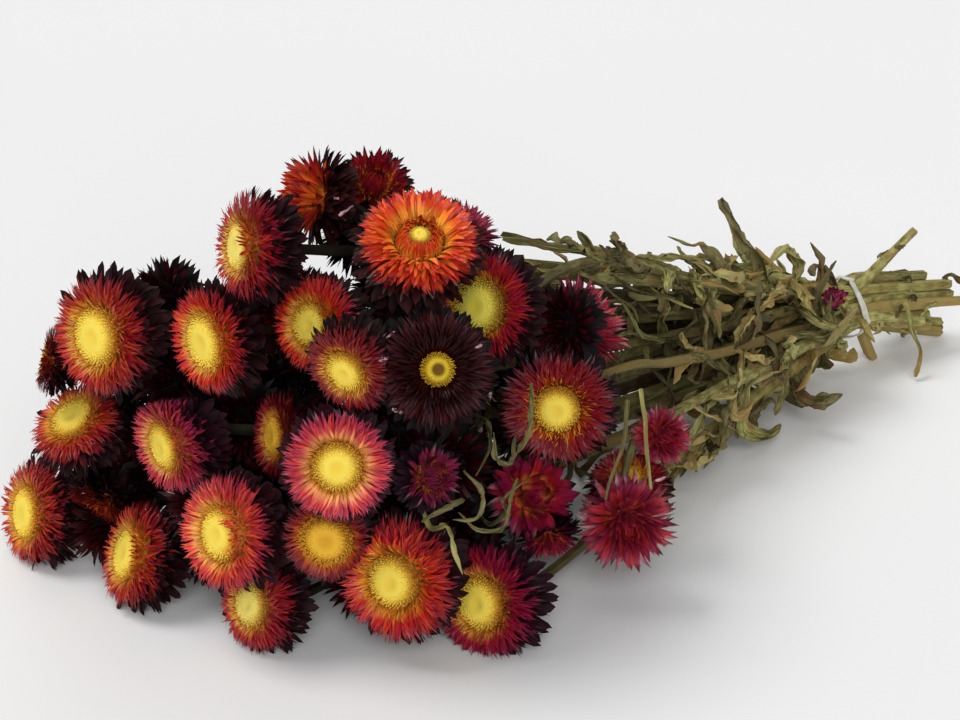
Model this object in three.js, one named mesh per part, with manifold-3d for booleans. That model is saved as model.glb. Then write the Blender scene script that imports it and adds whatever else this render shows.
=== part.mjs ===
// A tied bunch of dried strawflowers, lying on its side. Millimetres, +Z up.
// The heads point to -X, the cut stem ends to +X, and the lowest blooms and one stub rest on z = 0.
import * as THREE from 'three';
import { mergeVertices } from 'three/addons/utils/BufferGeometryUtils.js';
import Module from 'manifold-3d';

const wasm = await Module();
wasm.setup();

// ---- Driving dimensions

const bundle = new THREE.Vector3(190, -10, 28);  // middle of the stems where the band holds them
const stemSides = 4;
const stemRadius = 2.6;          // a main stem, where the band holds it
const neckRadius = 1.5;          // the same stem just behind its bloom
const slotPitch = 3.6;           // between stems in the band, so that they press into each other
const straightHalf = 8;          // the stems run level this far on either side of the band
const gap = 0.3;                 // between pieces that touch
const band = { width: 4.5, thickness: 1.0, sides: 20 };
const tailLength = [34, 60];     // the cut ends beyond the band, shortest and longest
const tailFlare = 1.35;          // how far the cut ends spread, against their places in the band
const tailSag = [0.1, 0.18];     // how far the cut ends lean to -Y and sag, for each mm beyond the band
const longStem = { bloom: 6, end: [238, -6, 47] };  // one stem springs up out of the band
const bendLength = 24;           // a stem leaves its bloom straight for about this far
const convergeLength = 105;      // the stems draw together over this length before the band
const highRoute = 0.42;          // how much of a high bloom's height its stem keeps on that length
const sideBloom = 31.5;          // blooms smaller than this grow on side branches
const branchRadius = 1.1;
const leafCount = 38;
const leafLength = [26, 52];
const leafWidth = [5, 10];
const bractWidth = 3.7;          // bloom diameter for each bract point in one tier

// Bloom form, as shares of the bloom's radius
const seat = { height: 0.16, radius: 0.4 };
const base = { height: -0.55, radius: 0.13 };
const openTiers = [
  { lift: 34, tip: 0.76, notch: 0.6 },
  { lift: 12, tip: 0.98, notch: 0.78 },
  { lift: -12, tip: 1.0, notch: 0.8 },
  { lift: -36, tip: 0.86, notch: 0.66 },
];
const cuppedTiers = [
  { lift: 62, tip: 0.8, notch: 0.62 },
  { lift: 36, tip: 0.96, notch: 0.76 },
  { lift: 9, tip: 1.0, notch: 0.78 },
  { lift: -24, tip: 0.86, notch: 0.66 },
];

// Each bloom: its number, where its heart is, diameter, facing (azimuth, elevation), form and colour
const blooms = [
  // the front and the two sides
  [1, [-131, 36, 97], 42, [-171, 12], 'disc', '#a3201f'],
  [2, [-116, -3, 104], 35, [-180, 5], 'open', '#b9271a'],
  [3, [-107, -12, 136], 36, [166, 14], 'open', '#8c1a22'],
  [4, [-75, -3, 142], 31, [150, 18], 'cupped', '#c2481f'],
  [5, [-47, -1, 138], 27, [-115, 50], 'cupped', '#7c1218'],
  [6, [-64, -43, 135], 41, [-123, 58], 'disc', '#d2491d'],
  [7, [-43, -49, 109], 37, [-167, 20], 'open', '#8f1a26'],
  [8, [-79, -68, 105], 38, [-123, 25], 'disc', '#3a0d14'],
  [9, [-16, -56, 67], 42, [-137, 11], 'disc', '#7f1420'],
  [10, [-87, -19, 106], 33, [-165, 16], 'open', '#a62a1c'],
  [11, [-97, -48, 104], 31, [-160, -7], 'open', '#8f1b1c'],
  [12, [-104, -50, 74], 36, [-132, 15], 'disc', '#b8323b'],
  [13, [-86, -56, 29], 45, [-158, 12], 'disc', '#ad2822'],
  [14, [-59, -68, 15], 41, [-169, 16], 'open', '#7a1630'],
  [15, [-123, -16, 43], 41, [-176, 15], 'disc', '#b93424'],
  [16, [-121, 16, 62], 37, [-180, 1], 'open', '#951b28'],
  [17, [-131, 57, 58], 33, [-176, 58], 'open', '#9f2319'],
  [18, [-138, 79, 17], 38, [172, 15], 'open', '#96201d'],
  [19, [-129, 30, 18], 37, [165, 24], 'open', '#8c1c1f'],
  [20, [-115, -19, 15], 34, [-178, 16], 'open', '#8f1a24'],
  [21, [-102, -41, 44], 29, [-139, 4], 'open', '#9a6a1c'],
  [22, [-133, 66, 79], 25, [140, 15], 'open', '#7d1521'],
  [23, [-79, -65, 67], 22, [-95, 24], 'cupped', '#5c1028'],
  [24, [-26, -56, 38], 30, [-92, 29], 'cupped', '#8a1736'],
  [25, [-20, -57, 19], 22, [-125, -50], 'cupped', '#7a1428'],
  [26, [16, -36, 82], 36, [-41, 37], 'cupped', '#8c1730'],
  [27, [-10, -84, 32], 32, [-126, -8], 'cupped', '#8f1833'],
  [28, [22, -69, 48], 21, [-96, 15], 'cupped', '#99203f'],
  [29, [12, -63, 32], 31, [-140, 65], 'open', '#6d1226'],
  [30, [-22, -18, 121], 26, [-43, 53], 'cupped', '#55102a'],
  [31, [-124, 54, 26], 30, [180, -48], 'open', '#5a0f1a'],
  [32, [-100, -16, 70], 31, [166, 12], 'open', '#6a1018'],
  // the far side
  [33, [-108, 66, 84], 36, [125, 12], 'open', '#8d1b22'],
  [34, [-99, 76, 30], 36, [132, -4], 'open', '#a02a1e'],
  [35, [-76, 56, 76], 38, [100, 10], 'open', '#7f1626'],
  [36, [-60, 84, 52], 40, [95, 0], 'open', '#a3251f'],
  [37, [-76, 58, 16], 36, [110, 5], 'open', '#841628'],
  [38, [-10, 50, 100], 36, [62, 38], 'open', '#8d1a1f'],
  [39, [-24, 80, 60], 38, [75, -4], 'open', '#93202a'],
  [40, [-44, 70, 14], 32, [95, 0], 'open', '#7a1523'],
  // deeper in, seen between the others
  [41, [-92, 17, 60], 31, [-150, 15], 'open', '#5a0f18'],
  [42, [-70, -34, 66], 31, [-130, 15], 'open', '#4e0d18'],
  [43, [-48, -38, 50], 31, [-125, 10], 'open', '#560f1c'],
  [44, [-92, -18, 40], 31, [-150, 10], 'open', '#5e1218'],
  [45, [-114, 12, 38], 31, [-170, 10], 'open', '#5a1018'],
  [46, [-56, -30, 96], 31, [-130, 25], 'open', '#4c0c16'],
  [47, [0, -36, 54], 30, [-110, 20], 'open', '#540f1e'],
  [48, [-10, -40, 22], 28, [-115, 10], 'open', '#520f1c'],
  [49, [-113, 28, 80], 31, [-170, 20], 'open', '#5a1016'],
  [50, [-30, -20, 82], 31, [-120, 25], 'open', '#500d18'],
].map(([number, at, across, faces, form, colour]) => (
  { number, heart: new THREE.Vector3(...at), radius: across / 2, facing: aim(...faces), form, colour }
));

const mainBlooms = blooms.filter((bloom) => 2 * bloom.radius > sideBloom);
const sideBlooms = blooms.filter((bloom) => 2 * bloom.radius <= sideBloom);

const bud = { heart: new THREE.Vector3(163, -26, 45), radius: 5, facing: aim(-130, 38), colour: '#8a1a3c' };

// Leaves with a place of their own, each grown from the nearest stem: midrib points and widest width
const placedLeaves = [
  [[[140, -11, 51], [131, -12, 68], [117, -13, 84], [108, -14, 97]], 6],
  [[[112, -9, 66], [104, -10, 78], [97, -10, 80], [86, -8, 86]], 3],
  [[[104, -34, 26], [99, -38, 15], [112, -38, 6], [126, -34, 5]], 9],
  [[[87, -36, 35], [72, -42, 30], [62, -45, 20]], 8],
  [[[206, -28, 30], [207, -32, 20], [210, -35, 11], [204, -38, 2]], 6],
  [[[160, -10, 55], [151, -10, 65], [143, -9, 60]], 8],
  [[[-80, -66, 50], [-85, -79, 58], [-86, -83, 52], [-83, -84, 42]], 5],
  [[[-38, -30, 63], [-42, -46, 69], [-50, -60, 73], [-60, -71, 72], [-72, -78, 70]], 5],
  [[[-38, -41, 29], [-46, -56, 34], [-50, -68, 45], [-57, -74, 55], [-50, -77, 60]], 6],
  [[[72, 0, 77], [59, 0, 85], [38, 0, 92], [24, 0, 98], [10, 0, 104]], 6],
  [[[110, -10, 70], [94, -12, 76], [80, -12, 80], [64, -14, 85]], 6],
];

// A short cut shoot below the band, and the thin stalk of the bud: both grow from the nearest stem
const stub = [[202, -12, 12], [206, -12.5, 4], [208, -13, -3]];
const budStalk = [[168, -19, 37], backOf(bud, gap + 2).toArray(), backOf(bud, gap).toArray()];

// ---- Small helpers

function aim(azimuth, elevation) {
  const a = THREE.MathUtils.degToRad(azimuth);
  const e = THREE.MathUtils.degToRad(elevation);
  return new THREE.Vector3(Math.cos(e) * Math.cos(a), Math.cos(e) * Math.sin(a), Math.sin(e));
}

// A repeatable stream of numbers from 0 to 1
function dice(seed) {
  let state = seed;
  return () => {
    state = (state * 1664525 + 1013904223) % 4294967296;
    return state / 4294967296;
  };
}

// The point straight behind a bloom, this far off the flat of its back
function backOf(bloom, distance) {
  return bloom.heart.clone().addScaledVector(bloom.facing, bloom.radius * base.height - distance);
}

function between(range, share) {
  return range[0] + (range[1] - range[0]) * share;
}

// Two directions square to the given one
function sideways(direction) {
  const reference = Math.abs(direction.z) < 0.9 ? new THREE.Vector3(0, 0, 1) : new THREE.Vector3(1, 0, 0);
  const across = new THREE.Vector3().crossVectors(reference, direction).normalize();
  const over = new THREE.Vector3().crossVectors(direction, across);
  return [across, over];
}

function nearestOnSegment(point, a, b) {
  return new THREE.Line3(a, b).closestPointToPoint(point, true, new THREE.Vector3());
}

function meshFrom(points, faces) {
  const geometry = new THREE.BufferGeometry();
  geometry.setAttribute('position', new THREE.Float32BufferAttribute(points.flatMap((p) => [p.x, p.y, p.z]), 3));
  geometry.setIndex(faces.flat());
  return geometry;
}

function toSolid(geometry) {
  const bare = geometry.clone();
  bare.deleteAttribute('normal');
  bare.deleteAttribute('uv');
  const merged = mergeVertices(bare, 1e-4);
  const vertProperties = new Float32Array(merged.attributes.position.array);
  const triVerts = new Uint32Array(merged.index.array);
  return new wasm.Manifold(new wasm.Mesh({ numProp: 3, vertProperties, triVerts }));
}

function fromSolid(solid) {
  const { vertProperties, triVerts } = solid.getMesh();
  const geometry = new THREE.BufferGeometry();
  geometry.setAttribute('position', new THREE.Float32BufferAttribute(vertProperties, 3));
  geometry.setIndex(Array.from(triVerts));
  return geometry;
}

// A closed skin over rings of equal count, with a flat cap at each end
function skin(rings) {
  const count = rings[0].length;
  const points = rings.flat();
  const faces = [];
  for (let r = 0; r + 1 < rings.length; r++) {
    for (let k = 0; k < count; k++) {
      const a = r * count + k;
      const b = r * count + (k + 1) % count;
      faces.push([a, b, b + count], [a, b + count, a + count]);
    }
  }
  const last = (rings.length - 1) * count;
  for (let k = 1; k + 1 < count; k++) {
    faces.push([0, k + 1, k], [last, last + k, last + k + 1]);
  }
  return meshFrom(points, faces);
}

// ---- Stems

// Places for the stems in the band: a triangular grid, nearest the middle first, read row by row
function bandSlots(count) {
  const slots = [];
  const rowHeight = slotPitch * Math.sqrt(3) / 2;
  for (let row = -5; row <= 5; row++) {
    for (let column = -5; column <= 5; column++) {
      const y = (column + (row % 2 ? 0.5 : 0)) * slotPitch;
      slots.push({ y, z: row * rowHeight });
    }
  }
  slots.sort((a, b) => Math.hypot(a.y, a.z) - Math.hypot(b.y, b.z) || a.z - b.z || a.y - b.y);
  return slots.slice(0, count).sort((a, b) => b.z - a.z || a.y - b.y);
}

// High blooms take the high rows, and in each row the stems keep the order of their blooms
function shareOutSlots() {
  const slots = bandSlots(mainBlooms.length);
  const byHeight = [...mainBlooms].sort((a, b) => b.heart.z - a.heart.z);
  let first = 0;
  while (first < slots.length) {
    let end = first;
    while (end < slots.length && slots[end].z === slots[first].z) end++;
    const row = byHeight.slice(first, end).sort((a, b) => a.heart.y - b.heart.y);
    row.forEach((bloom, k) => {
      bloom.slot = slots[first + k];
    });
    first = end;
  }
}

// How far a bloom reaches from its heart in a direction
function reachOf(bloom, direction) {
  const along = direction.dot(bloom.facing);
  const depth = along > 0 ? 0.5 : -base.height;
  return bloom.radius * Math.sqrt(1 - along * along * (1 - depth * depth));
}

// From the back of the bloom, round the other blooms, into the band and out to the cut end
function stemRoute(bloom, random) {
  const start = backOf(bloom, gap);
  const intoBand = new THREE.Vector3(bundle.x - straightHalf, bundle.y + bloom.slot.y, bundle.z + bloom.slot.z);
  const rise = highRoute * (bloom.heart.z - 45);
  const curve = new THREE.CubicBezierCurve3(
    start,
    start.clone().addScaledVector(bloom.facing, -bendLength),
    intoBand.clone().add(new THREE.Vector3(-convergeLength, 0, Math.max(rise, 4))),
    intoBand,
  );
  const points = [start, backOf(bloom, gap + bloom.radius * 0.4)];
  for (const share of [0.22, 0.42, 0.62, 0.82, 1]) points.push(curve.getPoint(share));
  pushClear(points, bloom);
  const outOfBand = intoBand.clone().setX(bundle.x + straightHalf);
  const tail = between(tailLength, random());
  const end = new THREE.Vector3(
    bundle.x + tail,
    bundle.y + bloom.slot.y * tailFlare - tail * tailSag[0] + (random() - 0.5) * 6,
    bundle.z + bloom.slot.z * tailFlare - tail * tailSag[1] + (random() - 0.5) * 5,
  );
  end.z = Math.max(end.z, stemRadius + 1);
  if (bloom.number === longStem.bloom) end.set(...longStem.end);
  points.push(outOfBand, end);
  return points;
}

// A side branch: from the back of its bloom to the nearest main stem ahead of it
function branchRoute(bloom, mainRoutes) {
  const start = backOf(bloom, gap);
  const neck = backOf(bloom, gap + bloom.radius * 0.4);
  const ahead = neck.clone().add(new THREE.Vector3(bendLength, 0, 0));
  const joints = mainRoutes.flatMap((route) => route.slice(3, -2)).filter((point) => point.x > start.x + 12);
  joints.sort((a, b) => a.distanceTo(ahead) - b.distanceTo(ahead));
  const joint = joints[0];
  const points = [start, neck];
  for (const share of [0.33, 0.67]) points.push(neck.clone().lerp(joint, share));
  points.push(joint);
  pushClear(points, bloom);
  return points;
}

// The middle of a route moves away from blooms that it passes too near, and stays off the ground
function pushClear(points, own) {
  const settled = 80;
  const last = points.length - 1;
  const movable = (k) => k > 1 && k < last;
  for (let pass = 0; pass < settled; pass++) {
    for (let k = 1; k < last; k++) {
      for (const bloom of blooms) {
        if (bloom === own && k < 2) continue;
        const near = nearestOnSegment(bloom.heart, points[k], points[k + 1]);
        const away = near.sub(bloom.heart);
        const distance = away.length();
        away.normalize();
        const room = reachOf(bloom, away) * 0.95 + stemRadius + 1;
        if (distance >= room) continue;
        for (const end of [k, k + 1]) {
          if (movable(end)) points[end].addScaledVector(away, (room - distance) * 0.35);
        }
      }
    }
    for (let k = 2; k < last; k++) {
      const middle = points[k - 1].clone().add(points[k + 1]).multiplyScalar(0.5);
      points[k].lerp(middle, 0.05);
      points[k].z = Math.max(points[k].z, stemRadius + 1);
    }
  }
}

// A stem with flat-sided ridges: rings across the route, thinner towards the bloom
function stemSolid(points, radii, sides) {
  const rings = [];
  let [across, over] = sideways(points[1].clone().sub(points[0]).normalize());
  points.forEach((point, k) => {
    const before = points[Math.max(k - 1, 0)];
    const after = points[Math.min(k + 1, points.length - 1)];
    const along = after.clone().sub(before).normalize();
    across.addScaledVector(along, -across.dot(along)).normalize();
    over = new THREE.Vector3().crossVectors(along, across);
    const ring = [];
    for (let s = 0; s < sides; s++) {
      const turn = 2 * Math.PI * s / sides;
      ring.push(point.clone()
        .addScaledVector(across, radii[k] * Math.cos(turn))
        .addScaledVector(over, radii[k] * Math.sin(turn)));
    }
    rings.push(ring);
  });
  return skin(rings);
}

// ---- Leaves

// Half the width of a leaf at one of its midrib points: narrow at the root, pointed at the tip
function leafHalf(points, k, width) {
  const shares = [0.35, 0.85, 1, 0.8, 0.5];
  const place = k * (shares.length - 1) / (points.length - 1);
  const share = THREE.MathUtils.lerp(shares[Math.floor(place)], shares[Math.ceil(place)], place % 1);
  return k + 1 < points.length ? width * share / 2 : 0.35;
}

// A dried leaf: a thin blade, keeled along the midrib
function leafSolid(points, width, up) {
  const rings = points.map((point, k) => {
    const before = points[Math.max(k - 1, 0)];
    const after = points[Math.min(k + 1, points.length - 1)];
    const along = after.clone().sub(before).normalize();
    const side = new THREE.Vector3().crossVectors(along, up).normalize();
    const over = new THREE.Vector3().crossVectors(side, along);
    const half = leafHalf(points, k, width);
    const rise = Math.min(0.45 + half * 0.2, 1.2);
    return [
      point.clone().addScaledVector(side, -half).addScaledVector(over, rise),
      point.clone().addScaledVector(side, half).addScaledVector(over, rise),
      point.clone().addScaledVector(over, -0.6),
    ];
  });
  return skin(rings);
}

// The point of a route at a distance along the bunch, if the route passes it
function atStation(route, station) {
  const after = route.findIndex((point) => point.x > station);
  if (after < 1) return null;
  const share = (station - route[after - 1].x) / (route[after].x - route[after - 1].x);
  return route[after - 1].clone().lerp(route[after], share);
}

// The midrib of a free leaf: it leaves an outer stem, leans towards the blooms, and curls over
function leafRoute(routes, random) {
  const beyondBand = random() < 0.12;
  const station = beyondBand ? bundle.x + between([12, 26], random()) : between([22, bundle.x - 34], random());
  const turn = random() * 2 * Math.PI;
  const outward = new THREE.Vector3(0, Math.cos(turn), Math.sin(turn));
  const roots = routes.map((route) => atStation(route, station)).filter((point) => point);
  roots.sort((a, b) => b.dot(outward) - a.dot(outward));
  const root = roots[0];
  const heading = new THREE.Vector3(-0.9 + random() * 0.5, (random() - 0.5) * 0.8, (random() - 0.5) * 0.6)
    .addScaledVector(outward, 0.35).normalize();
  const length = between(leafLength, random());
  const curl = new THREE.Vector3(random() - 0.5, random() - 0.5, random() - 0.7).multiplyScalar(1.1);
  const points = [root];
  for (let k = 0; k < 4; k++) {
    points.push(points[k].clone().addScaledVector(heading, length / 4));
    heading.add(curl).normalize();
  }
  return points;
}

// A leaf is kept if it stays off the blooms, the ground and the band
function leafFits(points) {
  return points.every((point, k) => {
    const offBlooms = blooms.every((bloom) => point.distanceTo(bloom.heart) > bloom.radius + 4);
    const offBud = point.distanceTo(bud.heart) > bud.radius + 7;
    const offBand = Math.abs(point.x - bundle.x) > (k === 0 ? 5 : 9);
    return offBlooms && offBud && offBand && point.z > 4;
  });
}

function freeLeaves(routes) {
  const random = dice(77);
  const leaves = [];
  while (leaves.length < leafCount) {
    const points = leafRoute(routes, random);
    const width = between(leafWidth, random());
    if (leafFits(points)) leaves.push({ points, width });
  }
  return leaves;
}

// ---- Blooms

// A flat limit on one side of the heart: nothing of the bloom passes it
function limit(heart, towards, distance) {
  return { direction: towards.clone().sub(heart).normalize(), distance };
}

function limitsOf(bloom, obstacles) {
  const limits = [{ direction: bloom.facing.clone().negate(), distance: -base.height * bloom.radius }];
  for (const other of blooms) {
    if (other === bloom) continue;
    const span = bloom.heart.distanceTo(other.heart);
    const towards = other.heart.clone().sub(bloom.heart).divideScalar(span);
    const mine = reachOf(bloom, towards);
    const theirs = reachOf(other, towards.clone().negate());
    limits.push({ direction: towards, distance: span * mine / (mine + theirs) - gap / 2 });
  }
  for (const { a, b, radius, owner } of obstacles) {
    if (owner === bloom) continue;
    const near = nearestOnSegment(bloom.heart, a, b);
    const distance = near.distanceTo(bloom.heart);
    if (distance < bloom.radius * 2) limits.push(limit(bloom.heart, near, distance - radius - gap));
  }
  return limits;
}

// One closed surface round the heart: a seat for the disc, staggered tiers of bracts, a small flat back
function bloomGeometry(bloom, limits) {
  const random = dice(bloom.number * 101 + 7);
  const [across, over] = sideways(bloom.facing);
  const tiers = bloom.form === 'cupped' ? cuppedTiers : openTiers;
  const count = Math.max(Math.round(2 * bloom.radius / bractWidth), 6);
  const place = (lift, turn, reach) => {
    const direction = new THREE.Vector3()
      .addScaledVector(bloom.facing, Math.sin(lift))
      .addScaledVector(across, Math.cos(lift) * Math.cos(turn))
      .addScaledVector(over, Math.cos(lift) * Math.sin(turn));
    let length = reach * bloom.radius;
    for (const { direction: towards, distance } of limits) {
      const slope = direction.dot(towards);
      if (slope > 0) length = Math.min(length, distance / slope);
    }
    return direction.multiplyScalar(length);
  };
  const step = Math.PI / count;
  const points = [];
  const faces = [];

  const crown = bloom.form === 'open' ? 0.14 : 0;
  const face = points.push(place(Math.PI / 2, 0, seat.height + crown)) - 1;
  const seatStart = points.length;
  for (let k = 0; k < count; k++) {
    points.push(place(Math.atan2(seat.height, seat.radius), 2 * k * step, Math.hypot(seat.height, seat.radius)));
  }
  const tierStarts = tiers.map(({ lift, tip, notch }, row) => {
    const start = points.length;
    for (let k = 0; k < 2 * count; k++) {
      const isTip = (k + row) % 2 === 1;
      const angle = THREE.MathUtils.degToRad(lift + (random() - 0.5) * 6);
      const turn = (k + (random() - 0.5) * 0.35) * step;
      const reach = isTip ? tip * (1.03 - random() * 0.13) : notch * (0.94 + random() * 0.12);
      points.push(place(angle, turn, reach));
    }
    return start;
  });
  const baseStart = points.length;
  for (let k = 0; k < count; k++) {
    points.push(place(Math.atan2(base.height, base.radius), (2 * k + 1) * step, Math.hypot(base.height, base.radius)));
  }
  const back = points.push(place(-Math.PI / 2, 0, -base.height)) - 1;

  const ring = 2 * count;
  for (let k = 0; k < count; k++) {
    const next = (k + 1) % count;
    const tier = tierStarts[0];
    faces.push([face, seatStart + k, seatStart + next]);
    faces.push([seatStart + k, tier + (2 * k + ring - 1) % ring, tier + 2 * k]);
    faces.push([seatStart + k, tier + 2 * k, tier + 2 * k + 1]);
    faces.push([seatStart + k, tier + 2 * k + 1, seatStart + next]);
  }
  for (let row = 0; row + 1 < tiers.length; row++) {
    for (let k = 0; k < ring; k++) {
      const a = tierStarts[row] + k;
      const b = tierStarts[row] + (k + 1) % ring;
      const c = tierStarts[row + 1] + (k + 1) % ring;
      const d = tierStarts[row + 1] + k;
      const tipFirst = (k + row) % 2 === 1;
      if (tipFirst) faces.push([a, d, b], [b, d, c]);
      else faces.push([a, d, c], [a, c, b]);
    }
  }
  for (let k = 0; k < count; k++) {
    const next = (k + 1) % count;
    const tier = tierStarts[tiers.length - 1];
    const own = 2 * k + 1;
    faces.push([baseStart + k, tier + own, tier + own - 1]);
    faces.push([baseStart + k, tier + (own + 1) % ring, tier + own]);
    faces.push([baseStart + k, baseStart + next, tier + (own + 1) % ring]);
    faces.push([back, baseStart + next, baseStart + k]);
  }
  return meshFrom(points, faces);
}

// The disc of florets: a low dome with a lumpy rim and a dimple, just clear of the bloom's seat
function discGeometry(bloom) {
  const random = dice(bloom.number * 53 + 3);
  const [across, over] = sideways(bloom.facing);
  const sides = 12;
  const floor = seat.height * bloom.radius + gap;
  const wide = seat.radius * bloom.radius * 0.93;
  const place = (radius, height, turn) => new THREE.Vector3()
    .addScaledVector(bloom.facing, height)
    .addScaledVector(across, radius * Math.cos(turn))
    .addScaledVector(over, radius * Math.sin(turn));
  const rim = [];
  const shoulder = [];
  const inner = [];
  for (let k = 0; k < sides; k++) {
    const turn = 2 * Math.PI * k / sides;
    rim.push(place(wide, floor, turn));
    shoulder.push(place(wide * (0.84 + random() * 0.08), floor + wide * (k % 2 ? 0.34 : 0.22), turn));
    inner.push(place(wide * 0.4, floor + wide * (k % 2 ? 0.3 : 0.4), turn));
  }
  const points = [...rim, ...shoulder, ...inner, place(0, floor, 0), place(0, floor + wide * 0.24, 0)];
  const faces = [];
  for (let k = 0; k < sides; k++) {
    const n = (k + 1) % sides;
    faces.push([3 * sides, n, k]);
    faces.push([k, n, sides + n], [k, sides + n, sides + k]);
    faces.push([sides + k, sides + n, 2 * sides + n], [sides + k, 2 * sides + n, 2 * sides + k]);
    faces.push([2 * sides + k, 2 * sides + n, 3 * sides + 1]);
  }
  return meshFrom(points, faces);
}

// ---- Band

// A flat elastic ring drawn tight round the stems: straight facets that just clear the outer stems
function bandGeometry() {
  const outline = (clearance) => {
    const turns = Array.from({ length: band.sides }, (_, k) => 2 * Math.PI * k / band.sides);
    const supports = turns.map((turn) => clearance + Math.max(...mainBlooms.map(({ slot }) => (
      slot.y * Math.cos(turn) + slot.z * Math.sin(turn)))) + stemRadius);
    return turns.map((turn, k) => {
      const next = (k + 1) % band.sides;
      const step = 2 * Math.PI / band.sides;
      const slide = (supports[next] - supports[k] * Math.cos(step)) / Math.sin(step);
      return new THREE.Vector2(
        supports[k] * Math.cos(turn) - slide * Math.sin(turn),
        supports[k] * Math.sin(turn) + slide * Math.cos(turn),
      );
    });
  };
  const shape = new THREE.Shape(outline(gap + band.thickness));
  shape.holes.push(new THREE.Path(outline(gap)));
  const geometry = new THREE.ExtrudeGeometry(shape, { depth: band.width, bevelEnabled: false });
  geometry.rotateX(Math.PI / 2);
  geometry.rotateZ(Math.PI / 2);
  geometry.translate(bundle.x - band.width / 2, bundle.y, bundle.z);
  return geometry;
}

// ---- Ground

// What would reach below the surface is pressed flat on it: the bloom is cut level there
function restOnGround(geometry, heart) {
  geometry.computeBoundingBox();
  if (geometry.boundingBox.min.z + heart.z >= 0) return geometry;
  const below = new THREE.BoxGeometry(200, 200, 20).translate(0, 0, -10 - heart.z);
  return fromSolid(toSolid(geometry).subtract(toSolid(below)));
}

// ---- Assembly

const group = new THREE.Group();

function addPiece(name, geometry, colour, roughness, at) {
  const material = new THREE.MeshStandardMaterial({ color: colour, roughness, metalness: 0 });
  const mesh = new THREE.Mesh(geometry, material);
  mesh.name = name;
  if (at) mesh.position.copy(at);
  group.add(mesh);
}

shareOutSlots();
const tailRandom = dice(5);
const mainRoutes = mainBlooms.map((bloom) => stemRoute(bloom, tailRandom));
const sideRoutes = sideBlooms.map((bloom) => branchRoute(bloom, mainRoutes));
const obstacles = [];

function addObstacles(points, radii, owner) {
  for (let k = 0; k + 1 < points.length; k++) {
    const radius = Math.max(radii[k], radii[k + 1]) * 1.08;
    obstacles.push({ a: points[k], b: points[k + 1], radius, owner: k === 0 ? owner : null });
  }
}

// The listed points, led by the nearest point on the middle line of a stem
function fromNearestStem(list) {
  const points = list.map((point) => new THREE.Vector3(...point));
  const roots = [...mainRoutes, ...sideRoutes].flatMap((route) => (
    route.slice(2).map((b, k) => nearestOnSegment(points[0], route[k + 1], b))));
  roots.sort((a, b) => a.distanceTo(points[0]) - b.distanceTo(points[0]));
  return [roots[0], ...points];
}

const grown = [];
mainRoutes.forEach((points, number) => {
  const radii = points.map((_, k) => Math.min(neckRadius + k * 0.18, stemRadius));
  radii[points.length - 3] = stemRadius;
  grown.push(toSolid(stemSolid(points, radii, stemSides)));
  addObstacles(points, radii, mainBlooms[number]);
});
sideRoutes.forEach((points, number) => {
  const radii = points.map(() => branchRadius);
  grown.push(toSolid(stemSolid(points, radii, stemSides)));
  addObstacles(points, radii, sideBlooms[number]);
});
const leaves = freeLeaves(mainRoutes);
for (const [list, width] of placedLeaves) leaves.push({ points: fromNearestStem(list), width });
for (const { points, width } of leaves) {
  grown.push(toSolid(leafSolid(points, width, new THREE.Vector3(0.2, -0.3, 1).normalize())));
  addObstacles(points, points.map((_, k) => leafHalf(points, k, width) + 0.8), null);
}
grown.push(toSolid(stemSolid(fromNearestStem(stub), [2, 2, 2, 2], stemSides)));
grown.push(toSolid(stemSolid(fromNearestStem(budStalk), [0.9, 0.9, 0.8, 0.7], stemSides)));
const underground = new THREE.BoxGeometry(600, 400, 20).translate(0, 0, -10);
const leafy = grown.reduce((whole, solid) => whole.add(solid)).subtract(toSolid(underground));
const [whole] = leafy.decompose().sort((a, b) => b.volume() - a.volume());
addPiece('leafy_stems', fromSolid(whole), '#6b6a3c', 0.85);
addPiece('tie_band', bandGeometry(), '#d9d6c8', 0.45);

for (const bloom of blooms) {
  const digits = String(bloom.number).padStart(2, '0');
  const shape = restOnGround(bloomGeometry(bloom, limitsOf(bloom, obstacles)), bloom.heart);
  addPiece(`bloom_${digits}`, shape, bloom.colour, 0.6, bloom.heart);
  if (bloom.form === 'disc') addPiece(`disc_${digits}`, discGeometry(bloom), '#d8b32c', 0.9, bloom.heart);
}

const budBloom = { ...bud, number: 51, form: 'cupped' };
const budLimits = [{ direction: bud.facing.clone().negate(), distance: bud.radius * -base.height }];
addPiece('bud_by_tie', bloomGeometry(budBloom, budLimits), bud.colour, 0.6, bud.heart);

// The origin is under the middle of the bunch, on the surface that it lies on
const extent = new THREE.Box3().setFromObject(group);
group.position.set(-(extent.min.x + extent.max.x) / 2, -(extent.min.y + extent.max.y) / 2, 0);

export default group;
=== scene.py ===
import math

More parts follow.
